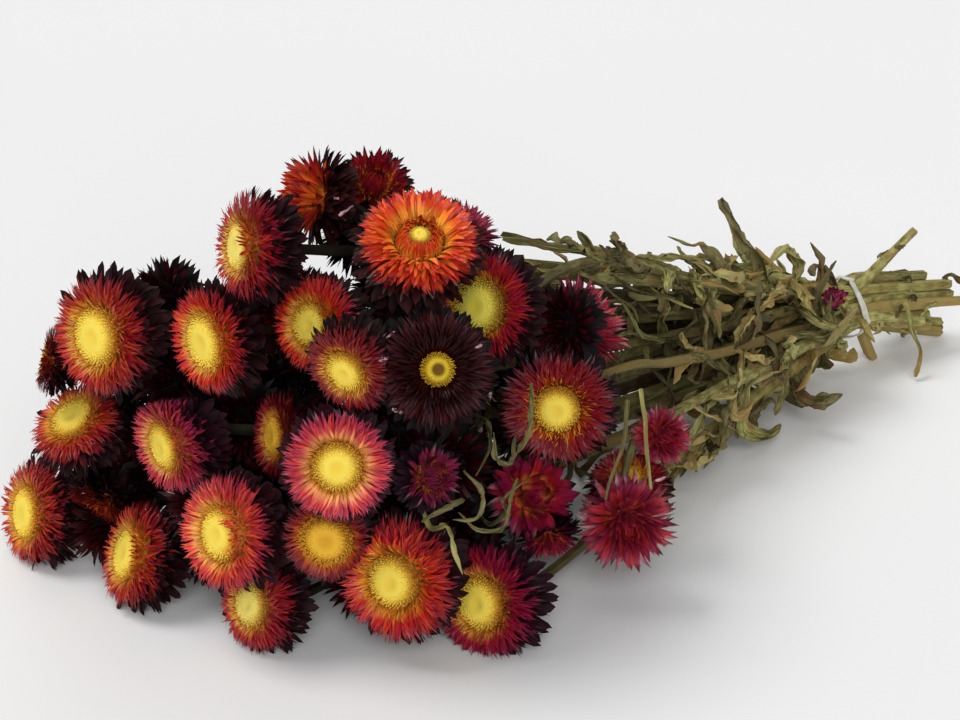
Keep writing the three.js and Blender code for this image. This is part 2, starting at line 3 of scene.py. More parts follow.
import bmesh
import bpy
import numpy as np
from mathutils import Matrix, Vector


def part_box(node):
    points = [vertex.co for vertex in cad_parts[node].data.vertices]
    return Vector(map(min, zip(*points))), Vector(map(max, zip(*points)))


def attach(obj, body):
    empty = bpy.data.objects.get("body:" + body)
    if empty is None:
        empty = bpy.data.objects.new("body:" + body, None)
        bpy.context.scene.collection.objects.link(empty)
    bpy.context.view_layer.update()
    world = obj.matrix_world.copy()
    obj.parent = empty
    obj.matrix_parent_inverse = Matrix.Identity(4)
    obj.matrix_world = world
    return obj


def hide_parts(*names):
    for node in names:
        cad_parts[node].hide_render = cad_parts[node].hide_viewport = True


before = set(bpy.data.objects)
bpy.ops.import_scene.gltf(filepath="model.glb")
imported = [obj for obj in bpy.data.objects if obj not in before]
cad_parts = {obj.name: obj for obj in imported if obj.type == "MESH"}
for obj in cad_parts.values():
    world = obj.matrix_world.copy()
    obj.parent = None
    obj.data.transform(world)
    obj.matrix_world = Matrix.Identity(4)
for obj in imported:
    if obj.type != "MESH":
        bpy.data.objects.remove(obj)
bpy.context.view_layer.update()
bpy.ops.object.select_all(action="DESELECT")
mm = 0.001
print("frame loaded:", len(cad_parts), "nodes")

# The bunch has axes of its own, in mm: heads towards -X, cut ends towards +X, ground at z = 0
bunch = {
    "bandMiddle": Vector((190, -10, 28)),  # middle of the stems under the band
    "stemRadius": 2.6,
    "neckRadius": 1.5,
    "branchRadius": 1.1,
    "slotPitch": 3.6,  # between stems in the band
    "straightHalf": 8,  # stems run level this far on either side of the band
    "gap": 0.3,
    "clear": 1,  # between a stem and a head or the ground
    "tailLength": (34, 60),
    "tailFlare": 1.35,
    "tailSag": (0.1, 0.18),  # how far the cut ends lean to -Y and sag, for each mm beyond the band
    "tailScatter": (6, 5),
    "longStem": {"bloom": 6, "end": Vector((238, -6, 47))},  # one stem springs up out of the band
    "bendLength": 24,
    "convergeLength": 105,
    "highRoute": 0.42,  # how steeply stems come down to the band, by the height of their heads
    "routeHeight": 45, "leastRise": 4,
    "stemShares": (0.22, 0.42, 0.62, 0.82, 1),  # where the points of a route lie
    "branchShares": (0.33, 0.67),
    "jointAhead": 12,  # a side branch joins a stem at least this far on
    "sideBloom": 31.5,  # smaller heads grow on side branches
    "backHeight": -0.55,  # the back of a head, in shares of its radius
    "frontHeight": 0.5,
    "neckLength": 0.4,  # a stem leaves a head squarely this far, in shares of its radius
}

# number: heart, diameter, facing (azimuth, elevation), habit, colour of paper and of fluff
bloomTable = {
    1: ((-131, 36, 97), 42, (-171, 12), "open", "brick", "yellow"),
    2: ((-116, -3, 104), 35, (-180, 5), "open", "scarlet", "yellow"),
    3: ((-107, -12, 136), 36, (166, 14), "reflexed", "crimson", "pale"),
    4: ((-75, -3, 142), 31, (150, 18), "halfOpen", "orange", "golden"),
    5: ((-47, -1, 138), 27, (-115, 50), "halfOpen", "crimson", "golden"),
    6: ((-64, -43, 135), 41, (-123, 58), "bowl", "orange", "yellow"),
    7: ((-43, -49, 109), 37, (-167, 20), "open", "crimson", "greenish"),
    8: ((-79, -68, 105), 38, (-123, 25), "narrow", "nearBlack", "dimpled"),
    9: ((-16, -56, 67), 42, (-137, 11), "open", "deepCrimson", "yellow"),
    10: ((-87, -19, 106), 33, (-165, 16), "reflexed", "scarlet", "yellow"),
    11: ((-97, -48, 104), 31, (-160, -7), "reflexed", "darkRed", "yellow"),
    12: ((-104, -50, 74), 36, (-132, 15), "flat", "rose", "yellow"),
    13: ((-86, -56, 29), 45, (-158, 12), "open", "scarlet", "yellow"),
    14: ((-59, -68, 15), 41, (-169, 16), "open", "magenta", "yellow"),
    15: ((-123, -16, 43), 41, (-176, 15), "open", "coral", "yellow"),
    16: ((-121, 16, 62), 37, (-180, 1), "open", "rose", "yellow"),
    17: ((-131, 57, 58), 33, (-176, 58), "reflexed", "brick", "yellow"),
    18: ((-138, 79, 17), 38, (172, 15), "reflexed", "brick", "yellow"),
    19: ((-129, 30, 18), 37, (165, 24), "reflexed", "brick", "yellow"),
    20: ((-115, -19, 15), 34, (-178, 16), "reflexed", "crimson", "pale"),
    21: ((-102, -41, 44), 29, (-139, 4), "open", "darkRed", "golden"),
    22: ((-133, 66, 79), 25, (140, 15), "reflexed", "deepCrimson", "yellow"),
    23: ((-79, -65, 67), 22, (-95, 24), "halfOpen", "plum", "golden"),
    24: ((-26, -56, 38), 30, (-92, 29), "broadCup", "magenta", "golden"),
    25: ((-20, -57, 19), 22, (-125, -50), "bristly", "magenta", "golden"),
    26: ((16, -36, 82), 36, (-41, 37), "star", "garnet", "golden"),
    27: ((-10, -84, 32), 32, (-126, -8), "star", "garnet", "golden"),
    28: ((22, -69, 48), 21, (-96, 15), "star", "garnet", "golden"),
    29: ((12, -63, 32), 31, (-140, 65), "open", "deepCrimson", "golden"),
    30: ((-22, -18, 121), 26, (-43, 53), "bristly", "plum", "golden"),
    31: ((-124, 54, 26), 30, (180, -48), "open", "darkRed", "golden"),
    32: ((-100, -16, 70), 31, (166, 12), "open", "darkRed", "golden"),
    # the far side
    33: ((-108, 66, 84), 36, (125, 12), "far", "crimson", "yellow"),
    34: ((-99, 76, 30), 36, (132, -4), "far", "scarlet", "yellow"),
    35: ((-76, 56, 76), 38, (100, 10), "far", "magenta", "yellow"),
    36: ((-60, 84, 52), 40, (95, 0), "far", "brick", "yellow"),
    37: ((-76, 58, 16), 36, (110, 5), "far", "deepCrimson", "greenish"),
    38: ((-10, 50, 100), 36, (62, 38), "far", "scarlet", "yellow"),
    39: ((-24, 80, 60), 38, (75, -4), "far", "rose", "yellow"),
    40: ((-44, 70, 14), 32, (95, 0), "far", "magenta", "yellow"),
}
deeperTable = {  # deeper in, seen between the others, all of one kind: near-black, as painted shade
    41: ((-92, 17, 60), 31, (-150, 15)),
    42: ((-70, -34, 66), 31, (-130, 15)),
    43: ((-48, -38, 50), 31, (-125, 10)),
    44: ((-92, -18, 40), 31, (-150, 10)),
    45: ((-114, 12, 38), 31, (-170, 10)),
    46: ((-56, -30, 96), 31, (-130, 25)),
    47: ((0, -36, 54), 30, (-110, 20)),
    48: ((-10, -40, 22), 28, (-115, 10)),
    49: ((-113, 28, 80), 31, (-170, 20)),
    50: ((-30, -20, 82), 31, (-120, 25)),
}
# near-black paper on the heads deep in the bunch: painted shade
innerShadeLooks = ("inner", "nearBlack", "golden")
bloomTable.update({number: row + innerShadeLooks for number, row in deeperTable.items()})
ownDiscs = (1, 6, 8, 9, 12, 13, 15)  # heads whose disc is a solid of its own


def aim(azimuth, elevation):
    a, e = math.radians(azimuth), math.radians(elevation)
    return Vector((math.cos(e) * math.cos(a), math.cos(e) * math.sin(a), math.sin(e)))


def makeBloom(number, row):
    heart, across, faces, habit, paper, fluff = row
    return {"number": number, "heart": Vector(heart), "radius": across / 2, "facing": aim(*faces),
            "habit": habit, "paper": paper, "fluff": fluff}


def dice(seed):  # a repeatable stream of numbers from 0 to 1
    state = seed

    def roll():
        nonlocal state
        state = (state * 1664525 + 1013904223) % 4294967296
        return state / 4294967296
    return roll


def between(ends, share):
    return ends[0] + (ends[1] - ends[0]) * share


def sideways(direction):  # two directions square to the given one
    reference = Vector((0, 0, 1)) if abs(direction.z) < 0.9 else Vector((1, 0, 0))
    across = reference.cross(direction).normalized()
    return across, direction.cross(across)


def nearestOnSegment(point, a, b):
    span = b - a
    share = (point - a).dot(span) / max(span.length_squared, 1e-12)
    return a + span * min(max(share, 0), 1)


def backOf(bloom, distance):
    return bloom["heart"] + bloom["facing"] * (bloom["radius"] * bunch["backHeight"] - distance)


def neckOf(bloom):
    return backOf(bloom, bunch["gap"] + bloom["radius"] * bunch["neckLength"])


def reachOf(bloom, direction):  # how far a head reaches from its heart
    along = direction.dot(bloom["facing"])
    depth = bunch["frontHeight"] if along > 0 else -bunch["backHeight"]
    return bloom["radius"] * math.sqrt(1 - along * along * (1 - depth * depth))


blooms = [makeBloom(number, row) for number, row in bloomTable.items()]
mainBlooms = [b for b in blooms if 2 * b["radius"] > bunch["sideBloom"]]
sideBlooms = [b for b in blooms if 2 * b["radius"] <= bunch["sideBloom"]]
bud = makeBloom(51, ((163, -26, 45), 10, (-130, 38), "bud", "pinkBud", "golden"))


# The stems and leaves follow the same rules as the solids


def bandSlots(count):  # a triangular grid, nearest the middle first, then read row by row
    rowHeight = bunch["slotPitch"] * math.sqrt(3) / 2
    slots = []
    for row in range(-5, 6):
        for column in range(-5, 6):
            slots.append(((column + (0.5 if row % 2 else 0)) * bunch["slotPitch"], row * rowHeight))
    # of slots at one distance, those of the top and bottom rows come first
    slots.sort(key=lambda s: (round(math.hypot(*s), 3), abs(s[1]) < 2.5 * rowHeight, s[1], s[0]))
    return sorted(slots[:count], key=lambda s: (-s[1], s[0]))


def shareOutSlots():  # high heads take the high rows, left to right in the order of their heads
    slots = bandSlots(len(mainBlooms))
    byHeight = sorted(mainBlooms, key=lambda b: -b["heart"].z)
    first = 0
    while first < len(slots):
        row = [s for s in slots if s[1] == slots[first][1]]
        members = sorted(byHeight[first:first + len(row)], key=lambda b: b["heart"].y)
        for bloom, slot in zip(members, row):
            bloom["slot"] = slot
        first += len(row)


def bezierPoint(a, b, c, d, t):
    u = 1 - t
    return a * u ** 3 + b * 3 * u * u * t + c * 3 * u * t * t + d * t ** 3


clearing = {"rounds": 80, "reach": 0.95, "push": 0.35, "ease": 0.05}


def pushAway(bloom, points, k):  # moves the ends of one span of a stem off a head
    heart = bloom["heart"]
    away = nearestOnSegment(heart, points[k], points[k + 1]) - heart
    distance = away.length
    if distance > bloom["radius"] + bunch["stemRadius"] + bunch["clear"]:
        return
    away.normalize()
    room = reachOf(bloom, away) * clearing["reach"] + bunch["stemRadius"] + bunch["clear"]
    if distance >= room:
        return
    for end in (k, k + 1):
        if 1 < end < len(points) - 1:
            points[end] = points[end] + away * (room - distance) * clearing["push"]


def pushClear(points, own):
    last = len(points) - 1
    for _ in range(clearing["rounds"]):
        for k in range(1, last):
            for bloom in blooms:
                if k >= 2 or bloom is not own:
                    pushAway(bloom, points, k)
        for k in range(2, last):
            middle = (points[k - 1] + points[k + 1]) * 0.5
            points[k] = points[k].lerp(middle, clearing["ease"])
            points[k].z = max(points[k].z, bunch["stemRadius"] + bunch["clear"])


def stemRoute(bloom, roll):
    start = backOf(bloom, bunch["gap"])
    middle, (slotY, slotZ) = bunch["bandMiddle"], bloom["slot"]
    intoBand = Vector((middle.x - bunch["straightHalf"], middle.y + slotY, middle.z + slotZ))
    rise = max(bunch["highRoute"] * (bloom["heart"].z - bunch["routeHeight"]), bunch["leastRise"])
    controls = (start, start - bloom["facing"] * bunch["bendLength"],
                intoBand + Vector((-bunch["convergeLength"], 0, rise)), intoBand)
    points = [start, neckOf(bloom)]
    points += [bezierPoint(*controls, share) for share in bunch["stemShares"]]
    pushClear(points, bloom)
    tail = between(bunch["tailLength"], roll())
    flare, (lean, sag) = bunch["tailFlare"], bunch["tailSag"]
    scatterY, scatterZ = bunch["tailScatter"]
    end = Vector((middle.x + tail,
                  middle.y + slotY * flare - tail * lean + (roll() - 0.5) * scatterY,
                  middle.z + slotZ * flare - tail * sag + (roll() - 0.5) * scatterZ))
    end.z = max(end.z, bunch["stemRadius"] + bunch["clear"])
    if bloom["number"] == bunch["longStem"]["bloom"]:
        end = bunch["longStem"]["end"].copy()
    points += [intoBand + Vector((2 * bunch["straightHalf"], 0, 0)), end]
    return points


def branchRoute(bloom, routes):
    start, neck = backOf(bloom, bunch["gap"]), neckOf(bloom)
    ahead = neck + Vector((bunch["bendLength"], 0, 0))
    first = start.x + bunch["jointAhead"]
    joints = [p for route in routes for p in route[3:-2] if p.x > first]
    joint = min(joints, key=lambda p: (p - ahead).length)
    onTheWay = [neck.lerp(joint, share) for share in bunch["branchShares"]]
    points = [start, neck, *onTheWay, joint.copy()]
    pushClear(points, bloom)
    return points


def fromNearestStem(listed, routes):  # the listed points, led by the nearest point on a stem
    points = [Vector(p) for p in listed]
    roots = [nearestOnSegment(points[0], a, b) for route in routes
             for a, b in zip(route[1:], route[2:])]
    return [min(roots, key=lambda r: (r - points[0]).length)] + points


def atStation(route, station):  # the point of a route this far along the bunch, if it is there
    after = next((k for k, p in enumerate(route) if p.x > station), 0)
    if after < 1:
        return None
    a, b = route[after - 1], route[after]
    return a.lerp(b, (station - a.x) / (b.x - a.x))


leafRule = {
    "count": 38,
    "length": (26, 52),
    "width": (5, 10),
    "up": Vector((0.2, -0.3, 1)).normalized(),
    "heading": (-0.9, 0.5, 0.8, 0.6),  # back to the heads, then its play along, aside and up
    "outward": 0.35,
    "curl": 1.1, "droop": 0.7,
    "steps": 4,
    "beyondBand": 0.12,  # the share of leaves that grow past the band
    "before": (22, 156), "beyond": (12, 26),  # stations along the bunch, and from the band, mm
    "offHeads": 4, "offBud": 7, "offGround": 4, "offBand": (5, 9),  # mm, at the root and further on
}

# leaves with a place of their own, each grown from the nearest stem: midrib points and widest width
placedLeaves = [
    ([(140, -11, 51), (131, -12, 68), (117, -13, 84), (108, -14, 97)], 6),
    ([(112, -9, 66), (104, -10, 78), (97, -10, 80), (86, -8, 86)], 3),
    ([(104, -34, 26), (99, -38, 15), (112, -38, 6), (126, -34, 5)], 9),
    ([(87, -36, 35), (72, -42, 30), (62, -45, 20)], 8),
    ([(206, -28, 30), (207, -32, 20), (210, -35, 11), (204, -38, 2)], 6),
    ([(160, -10, 55), (151, -10, 65), (143, -9, 60)], 8),
    ([(-80, -66, 50), (-85, -79, 58), (-86, -83, 52), (-83, -84, 42)], 5),
    ([(-38, -30, 63), (-42, -46, 69), (-50, -60, 73), (-60, -71, 72), (-72, -78, 70)], 5),
    ([(-38, -41, 29), (-46, -56, 34), (-50, -68, 45), (-57, -74, 55), (-50, -77, 60)], 6),
    ([(72, 0, 77), (59, 0, 85), (38, 0, 92), (24, 0, 98), (10, 0, 104)], 6),
    ([(110, -10, 70), (94, -12, 76), (80, -12, 80), (64, -14, 85)], 6),
]
stub = [(202, -12, 12), (206, -12.5, 4), (208, -13, 0.5)]
budStalk = [(168, -19, 37), backOf(bud, bunch["gap"] + 2), backOf(bud, bunch["gap"])]


def leafRoute(routes, roll):  # it leaves an outer stem, leans towards the heads, and curls over
    if roll() < leafRule["beyondBand"]:
        station = bunch["bandMiddle"].x + between(leafRule["beyond"], roll())
    else:
        station = between(leafRule["before"], roll())
    turn = roll() * 2 * math.pi
    outward = Vector((0, math.cos(turn), math.sin(turn)))
    roots = [p for p in (atStation(route, station) for route in routes) if p]
    root = max(roots, key=lambda p: p.dot(outward))
    back, *spread = leafRule["heading"]
    heading = Vector((back + roll() * spread[0],
                      (roll() - 0.5) * spread[1],
                      (roll() - 0.5) * spread[2]))
    heading = (heading + outward * leafRule["outward"]).normalized()
    length = between(leafRule["length"], roll())
    curl = Vector((roll() - 0.5, roll() - 0.5, roll() - leafRule["droop"])) * leafRule["curl"]
    points = [root]
    for _ in range(leafRule["steps"]):
        points.append(points[-1] + heading * length / leafRule["steps"])
        heading = (heading + curl).normalized()
    return points


def leafFits(points):  # a leaf stays off the heads, the bud, the ground and the band
    bandX, (rootOff, restOff) = bunch["bandMiddle"].x, leafRule["offBand"]
    for k, point in enumerate(points):
        if any((point - b["heart"]).length <= b["radius"] + leafRule["offHeads"] for b in blooms):
            return False
        if (point - bud["heart"]).length <= bud["radius"] + leafRule["offBud"]:
            return False
        offBand = restOff if k else rootOff
        if point.z <= leafRule["offGround"] or abs(point.x - bandX) <= offBand:
            return False
    return True


def freeLeaves(routes, count, seed):
    roll = dice(seed)
    found = []
    while len(found) < count:
        points = leafRoute(routes, roll)
        width = between(leafRule["width"], roll())
        if leafFits(points):
            found.append((points, width))
    return found


shareOutSlots()
tailRoll = dice(5)
mainRoutes = [stemRoute(bloom, tailRoll) for bloom in mainBlooms]
sideRoutes = [branchRoute(bloom, mainRoutes) for bloom in sideBlooms]
leaves = freeLeaves(mainRoutes, leafRule["count"], 77)
leaves += [(fromNearestStem(points, mainRoutes + sideRoutes), width)
           for points, width in placedLeaves]
print("routes:", len(mainRoutes), "stems,", len(sideRoutes), "branches,", len(leaves), "leaves")

# where the bunch's own axes lie in the frame: the band gives it
bandLow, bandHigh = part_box("tie_band")
slotsAcross = [b["slot"][0] for b in mainBlooms]
bandCentre = (bandLow + bandHigh) / 2
bandY = bunch["bandMiddle"].y + (max(slotsAcross) + min(slotsAcross)) / 2
shift = Vector((bandCentre.x - bunch["bandMiddle"].x * mm, bandCentre.y - bandY * mm, 0))
print("bunch stands at", [round(c * 1000, 2) for c in shift])


def hexColour(code):  # sRGB hex to linear
    channels = [int(code[k:k + 2], 16) / 255 for k in (1, 3, 5)]
    return [c / 12.92 if c <= 0.04045 else ((c + 0.055) / 1.055) ** 2.4 for c in channels] + [1]


def setInputs(tree, node, inputs):  # each input gets a link or a value of its own
    for name, value in inputs.items():
        if isinstance(value, bpy.types.NodeSocket):
            tree.links.new(value, node.inputs[name])
        else:
            node.inputs[name].default_value = value


def addNode(tree, kind, inputs=None, **settings):
    node = tree.nodes.new(kind)
    for name, value in settings.items():
        setattr(node, name, value)
    setInputs(tree, node, inputs or {})
    return node


def colourRamp(tree, factor, stops):
    ramp = addNode(tree, "ShaderNodeValToRGB", {"Fac": factor})
    elements = ramp.color_ramp.elements
    elements[0].position, elements[1].position = stops[0][0], stops[-1][0]
    elements[0].color, elements[1].color = hexColour(stops[0][1]), hexColour(stops[-1][1])
    for place, colour in stops[1:-1]:
        elements.new(place).color = hexColour(colour)
    return ramp.outputs["Color"]


def mixColour(tree, factor, first, second):
    colours = {0: factor, 6: first, 7: second}
    return addNode(tree, "ShaderNodeMix", colours, data_type="RGBA").outputs[2]


def eased(tree, value, source, result=(0, 1)):  # a value taken smoothly from one range to another
    ranges = {"Value": value, "From Min": source[0], "From Max": source[1],
              "To Min": result[0], "To Max": result[1]}
    node = addNode(tree, "ShaderNodeMapRange", ranges, interpolation_type="SMOOTHSTEP")
    return node.outputs["Result"]


def multiply(tree, value, factor):
    node = addNode(tree, "ShaderNodeMath", {0: value, 1: factor}, operation="MULTIPLY")
    return node.outputs["Value"]


def toneColour(tree, colour, value, hue=0.5):
    inputs = {"Color": colour, "Value": value, "Hue": hue}
    return addNode(tree, "ShaderNodeHueSaturation", inputs).outputs["Color"]


def raiseFrom(tree, height, strength, depth):  # depth in mm
    inputs = {"Height": height, "Strength": strength, "Distance": depth * mm}
    return addNode(tree, "ShaderNodeBump", inputs).outputs["Normal"]


def objectNoise(tree, scale, detail):
    where = addNode(tree, "ShaderNodeTexCoord").outputs["Object"]
    inputs = {"Vector": where, "Scale": scale, "Detail": detail}
    return addNode(tree, "ShaderNodeTexNoise", inputs).outputs["Fac"]


def makeMaterial(name, looks, *values):  # the looks are a function that gives the shader's inputs
    material = bpy.data.materials.new(name)
    material.use_nodes = True
    tree = material.node_tree
    setInputs(tree, tree.nodes["Principled BSDF"], looks(tree, *values))
    return material


def readAttributes(tree, *names):
    nodes = [addNode(tree, "ShaderNodeAttribute", attribute_name=name) for name in names]
    return [node.outputs["Fac"] for node in nodes]


def fibreNoise(tree, rows, seed, detail):  # streaks that run along a blade, different on each copy
    uv = addNode(tree, "ShaderNodeUVMap", uv_map="strip").outputs["UV"]
    place = addNode(tree, "ShaderNodeVectorMath", {0: uv, 1: (*rows, 1)}, operation="MULTIPLY")
    inputs = {"Vector": place.outputs[0], "W": multiply(tree, seed, 50), "Detail": detail,
              "Scale": 1.0}
    return addNode(tree, "ShaderNodeTexNoise", inputs, noise_dimensions="4D").outputs["Fac"]


papers = {  # dried bracts: colours of the base, the middle, the tip and the back
    "brick": ("#e8902c", "#c43420", "#8c1c22", "#1c0509"),
    "scarlet": ("#f09a30", "#d8341c", "#a01f2a", "#1c0509"),
    "orange": ("#ffb040", "#f2601e", "#d03a24", "#22060a"),
    "coral": ("#ffc060", "#e8503a", "#b42c40", "#1e060c"),
    "crimson": ("#e07a2c", "#b41f24", "#881626", "#1a050a"),
    "deepCrimson": ("#a83412", "#8e1018", "#6e0e1e", "#180409"),
    "magenta": ("#e08a40", "#aa1c30", "#841438", "#1c0510"),
    "rose": ("#ffb070", "#d43c44", "#a82a4c", "#200712"),
    "plum": ("#f49a50", "#a43048", "#7c2048", "#1a0612"),
    "darkRed": ("#c86424", "#8c161a", "#641018", "#160408"),
    "nearBlack": ("#2a0508", "#1e0305", "#3c0810", "#0c0204"),
    "garnet": ("#b8442a", "#9e1a2c", "#aa3048", "#5a0e1e"),
    "pinkBud": ("#f2c8c0", "#c86484", "#9a2448", "#4a1024"),
    # pale paper of the flakes: partly pale tips, partly painted highlights
    "faded": ("#c89c9c", "#b88c98", "#906080", "#80586c"),
}
bractPaper = {
    "fibreRows": (7, 1.4),  # across half a bract and along it, coarser than the real fibres
    "fibreDetail": 2,
    "stops": (0.14, 0.4, 0.84),  # along the bract: end of the base, the middle, the tip
    "ripening": (0.52, 1.16),  # how far along its colours a bract ends, innermost and outermost
    "underside": 0.6,  # share of the back's colour there
    "fibreLight": (0.74, 1.24), "copyLight": (0.74, 1.2), "copyHue": (0.488, 0.508),
    "bump": 0.3, "bumpDepth": 0.12,  # mm
    "roughness": (0.24, 0.5),
    "specular": 0.34,
}
paperShine = {"nearBlack": 0.12, "garnet": 0.8}  # specular where it isn't the usual
darkPaper = {"roughness": 0.6, "specular": 0.14, "redTip": 0.03, "copyLight": (0.6, 1.2)}


def paperFibres(tree, seed):
    fibres = fibreNoise(tree, bractPaper["fibreRows"], seed, bractPaper["fibreDetail"])
    return fibres, raiseFrom(tree, fibres, bractPaper["bump"], bractPaper["bumpDepth"])


def paperLooks(tree, name, colours):  # glossy, with fibres lengthwise, and darker towards the tip
    along, tier, seed, under = readAttributes(tree, "along", "tier", "seed", "under")
    base, middle, tip, back = colours
    baseEnd, middlePlace, tipPlace = bractPaper["stops"]
    # the inner bracts are bright further out towards their tips
    ripened = multiply(tree, along, eased(tree, tier, (0, 0.6), bractPaper["ripening"]))
    face = colourRamp(tree, ripened, [(0, base), (baseEnd, base), (middlePlace, middle),
                                      (tipPlace, tip), (1, back)])
    whole = mixColour(tree, multiply(tree, under, bractPaper["underside"]), face, hexColour(back))
    fibres, normal = paperFibres(tree, seed)
    light = multiply(tree, eased(tree, fibres, (0.3, 0.7), bractPaper["fibreLight"]),
                     eased(tree, seed, (0, 1), bractPaper["copyLight"]))
    hue = eased(tree, seed, (0, 1), bractPaper["copyHue"])
    return {
        "Base Color": toneColour(tree, whole, light, hue),
        "Roughness": eased(tree, fibres, (0.3, 0.7), bractPaper["roughness"]),
        "Specular IOR Level": paperShine.get(name, bractPaper["specular"]), "Normal": normal}


def darkLooks(tree, name, colours):  # outer bracts: dull, nearly black, a breath of red at the tip
    along, seed = readAttributes(tree, "along", "seed")
    tip, back = hexColour(colours[2]), hexColour(colours[3])
    red = mixColour(tree, darkPaper["redTip"], back, tip)
    face = mixColour(tree, eased(tree, along, (0.55, 1)), back, red)
    return {
        "Base Color": toneColour(tree, face, eased(tree, seed, (0, 1), darkPaper["copyLight"])),
        "Roughness": darkPaper["roughness"], "Specular IOR Level": darkPaper["specular"],
        "Normal": paperFibres(tree, seed)[1]}


fluffs = {  # florets: colours of the middle, the body and the rim, then of the gaps and the rim's gaps, darker as painted shade
    "yellow": ("#f6d44c", "#fce05a", "#eabc3c", "#d8ae34", "#b47c26"),
    "pale": ("#fade68", "#fee878", "#ecca54", "#dcbc4a", "#b88430"),
    "golden": ("#dfa428", "#ecb838", "#d8942a", "#b47c20", "#804616"),
    "greenish": ("#e2d044", "#eede5c", "#d8ba3a", "#c4b436", "#967024"),
    "dimpled": ("#6e4a08", "#e4c834", "#e0b430", "#bc9024", "#7c4416"),
}
fluffBuild = {
    "middleShare": {"dimpled": 0.3}, "usualMiddle": 0.16, "blend": 0.24,  # of the disc's radius
    "copyLight": (0.88, 1.08), "grain": 0.5, "grainDepth": 0.15,  # mm
    "bleed": (0.9 * mm, 0.7 * mm, 0.3 * mm),
}


def fluffLooks(tree, name, colours):  # floret tips: mealy, browner at the rim; the floret feet and the flesh between them darker, painted shade
    along, tier, seed = readAttributes(tree, "along", "tier", "seed")
    middle, body, rim, gap, rimGapShade = colours
    centre = fluffBuild["middleShare"].get(name, fluffBuild["usualMiddle"])
    face = colourRamp(tree, along, [(0, middle), (centre, middle),
                                    (centre + fluffBuild["blend"], body), (0.8, body), (1, rim)])
    # painted shade between the florets, browner towards the rim
    deep = colourRamp(tree, along, [(0, gap), (0.55, gap), (0.95, rimGapShade)])
    whole = mixColour(tree, eased(tree, tier, (0.3, 0.8), (1, 0)), face, deep)
    grain = objectNoise(tree, 1 / (fluffBuild["grain"] * mm), 1.0)
    return {
        "Base Color": toneColour(tree, whole, eased(tree, seed, (0, 1), fluffBuild["copyLight"])),
        "Normal": raiseFrom(tree, grain, 0.5, fluffBuild["grainDepth"]),
        "Roughness": 0.8, "Specular IOR Level": 0.25, "Subsurface Weight": 0.12,
        "Subsurface Radius": fluffBuild["bleed"], "Subsurface Scale": 1.0}


def scaleLooks(tree, name, colours):  # scales round the disc: orange at the foot, golden at the tip
    along, seed = readAttributes(tree, "along", "seed")
    face = colourRamp(tree, along, [(0, "#a8541a"), (0.35, "#dc8226"),
                                    (0.75, colours[2]), (1, "#f4d078")])
    return {
        "Base Color": toneColour(tree, face, eased(tree, seed, (0, 1), (0.7, 1.2))),
        "Roughness": 0.45}


greens = {  # dried stem and leaf: dark, body, pale and brown tones, rows of fibres and roughness
    "driedStem": ("#524c2a", "#908a50", "#b8b078", "#846a40", 5, 0.75),
    "driedLeaf": ("#3c3c22", "#807c46", "#b8b078", "#8e6c42", 4, 0.85),
    "paleLeaf": ("#3c3e22", "#767840", "#b4ae76", "#94784a", 4, 0.85),
}
greenBuild = {
    "fibreLength": 2.2, "fibreDetail": 3, "fibreStops": (0.3, 0.5, 0.72),  # dark, body, pale
    "blotches": 110.0, "blotchDetail": 3.0, "blotched": 0.8,  # a blotch is about 9 mm
    "older": 0.9, "paleUnder": 0.35,
    "black": "#0e0805", "paintedShadeStrength": 0.98,  # painted shade: its colour and strength on what lies deep in the bunch
    "copyLight": (0.42, 1.32), "copyHue": (0.475, 0.515),
    "bump": 0.6, "bumpDepth": 0.3,  # mm
    "specular": 0.2,
}


def greenLooks(tree, name, values):  # shrivelled tissue: matt, streaked and blotched, with painted shade deep in the bunch and near the heads
    # deep is the painted shade of the bunch, read from tier
    seed, under, deep = readAttributes(tree, "seed", "under", "tier")
    dark, body, pale, brown, fibreRows, roughness = values
    rows = (fibreRows, greenBuild["fibreLength"])
    fibres = fibreNoise(tree, rows, seed, greenBuild["fibreDetail"])
    blotches = objectNoise(tree, greenBuild["blotches"], greenBuild["blotchDetail"])
    colour = colourRamp(tree, fibres, list(zip(greenBuild["fibreStops"], (dark, body, pale))))
    layers = ((eased(tree, blotches, (0.5, 0.66), (0, greenBuild["blotched"])), brown),
              (eased(tree, seed, (0.7, 0.96), (0, greenBuild["older"])), brown),
              (eased(tree, under, (0.3, 0.7), (0, greenBuild["paleUnder"])), pale),
              (multiply(tree, deep, greenBuild["paintedShadeStrength"]), greenBuild["black"]))
    for share, layer in layers:
        colour = mixColour(tree, share, colour, hexColour(layer))
    light = eased(tree, seed, (0, 0.9), greenBuild["copyLight"])
    hue = eased(tree, seed, (0, 1), greenBuild["copyHue"])
    return {
        "Base Color": toneColour(tree, colour, light, hue),
        "Normal": raiseFrom(tree, fibres, greenBuild["bump"], greenBuild["bumpDepth"]),
        "Roughness": roughness, "Specular IOR Level": greenBuild["specular"]}


def elasticLooks(tree):  # milky where it is stretched, with a soft gloss
    cloud = objectNoise(tree, 260.0, 2.0)
    return {
        "Base Color": colourRamp(tree, cloud, [(0.35, "#dedacb"), (0.65, "#f6f4ec")]),
        "Roughness": 0.28, "Transmission Weight": 0.35, "IOR": 1.45}


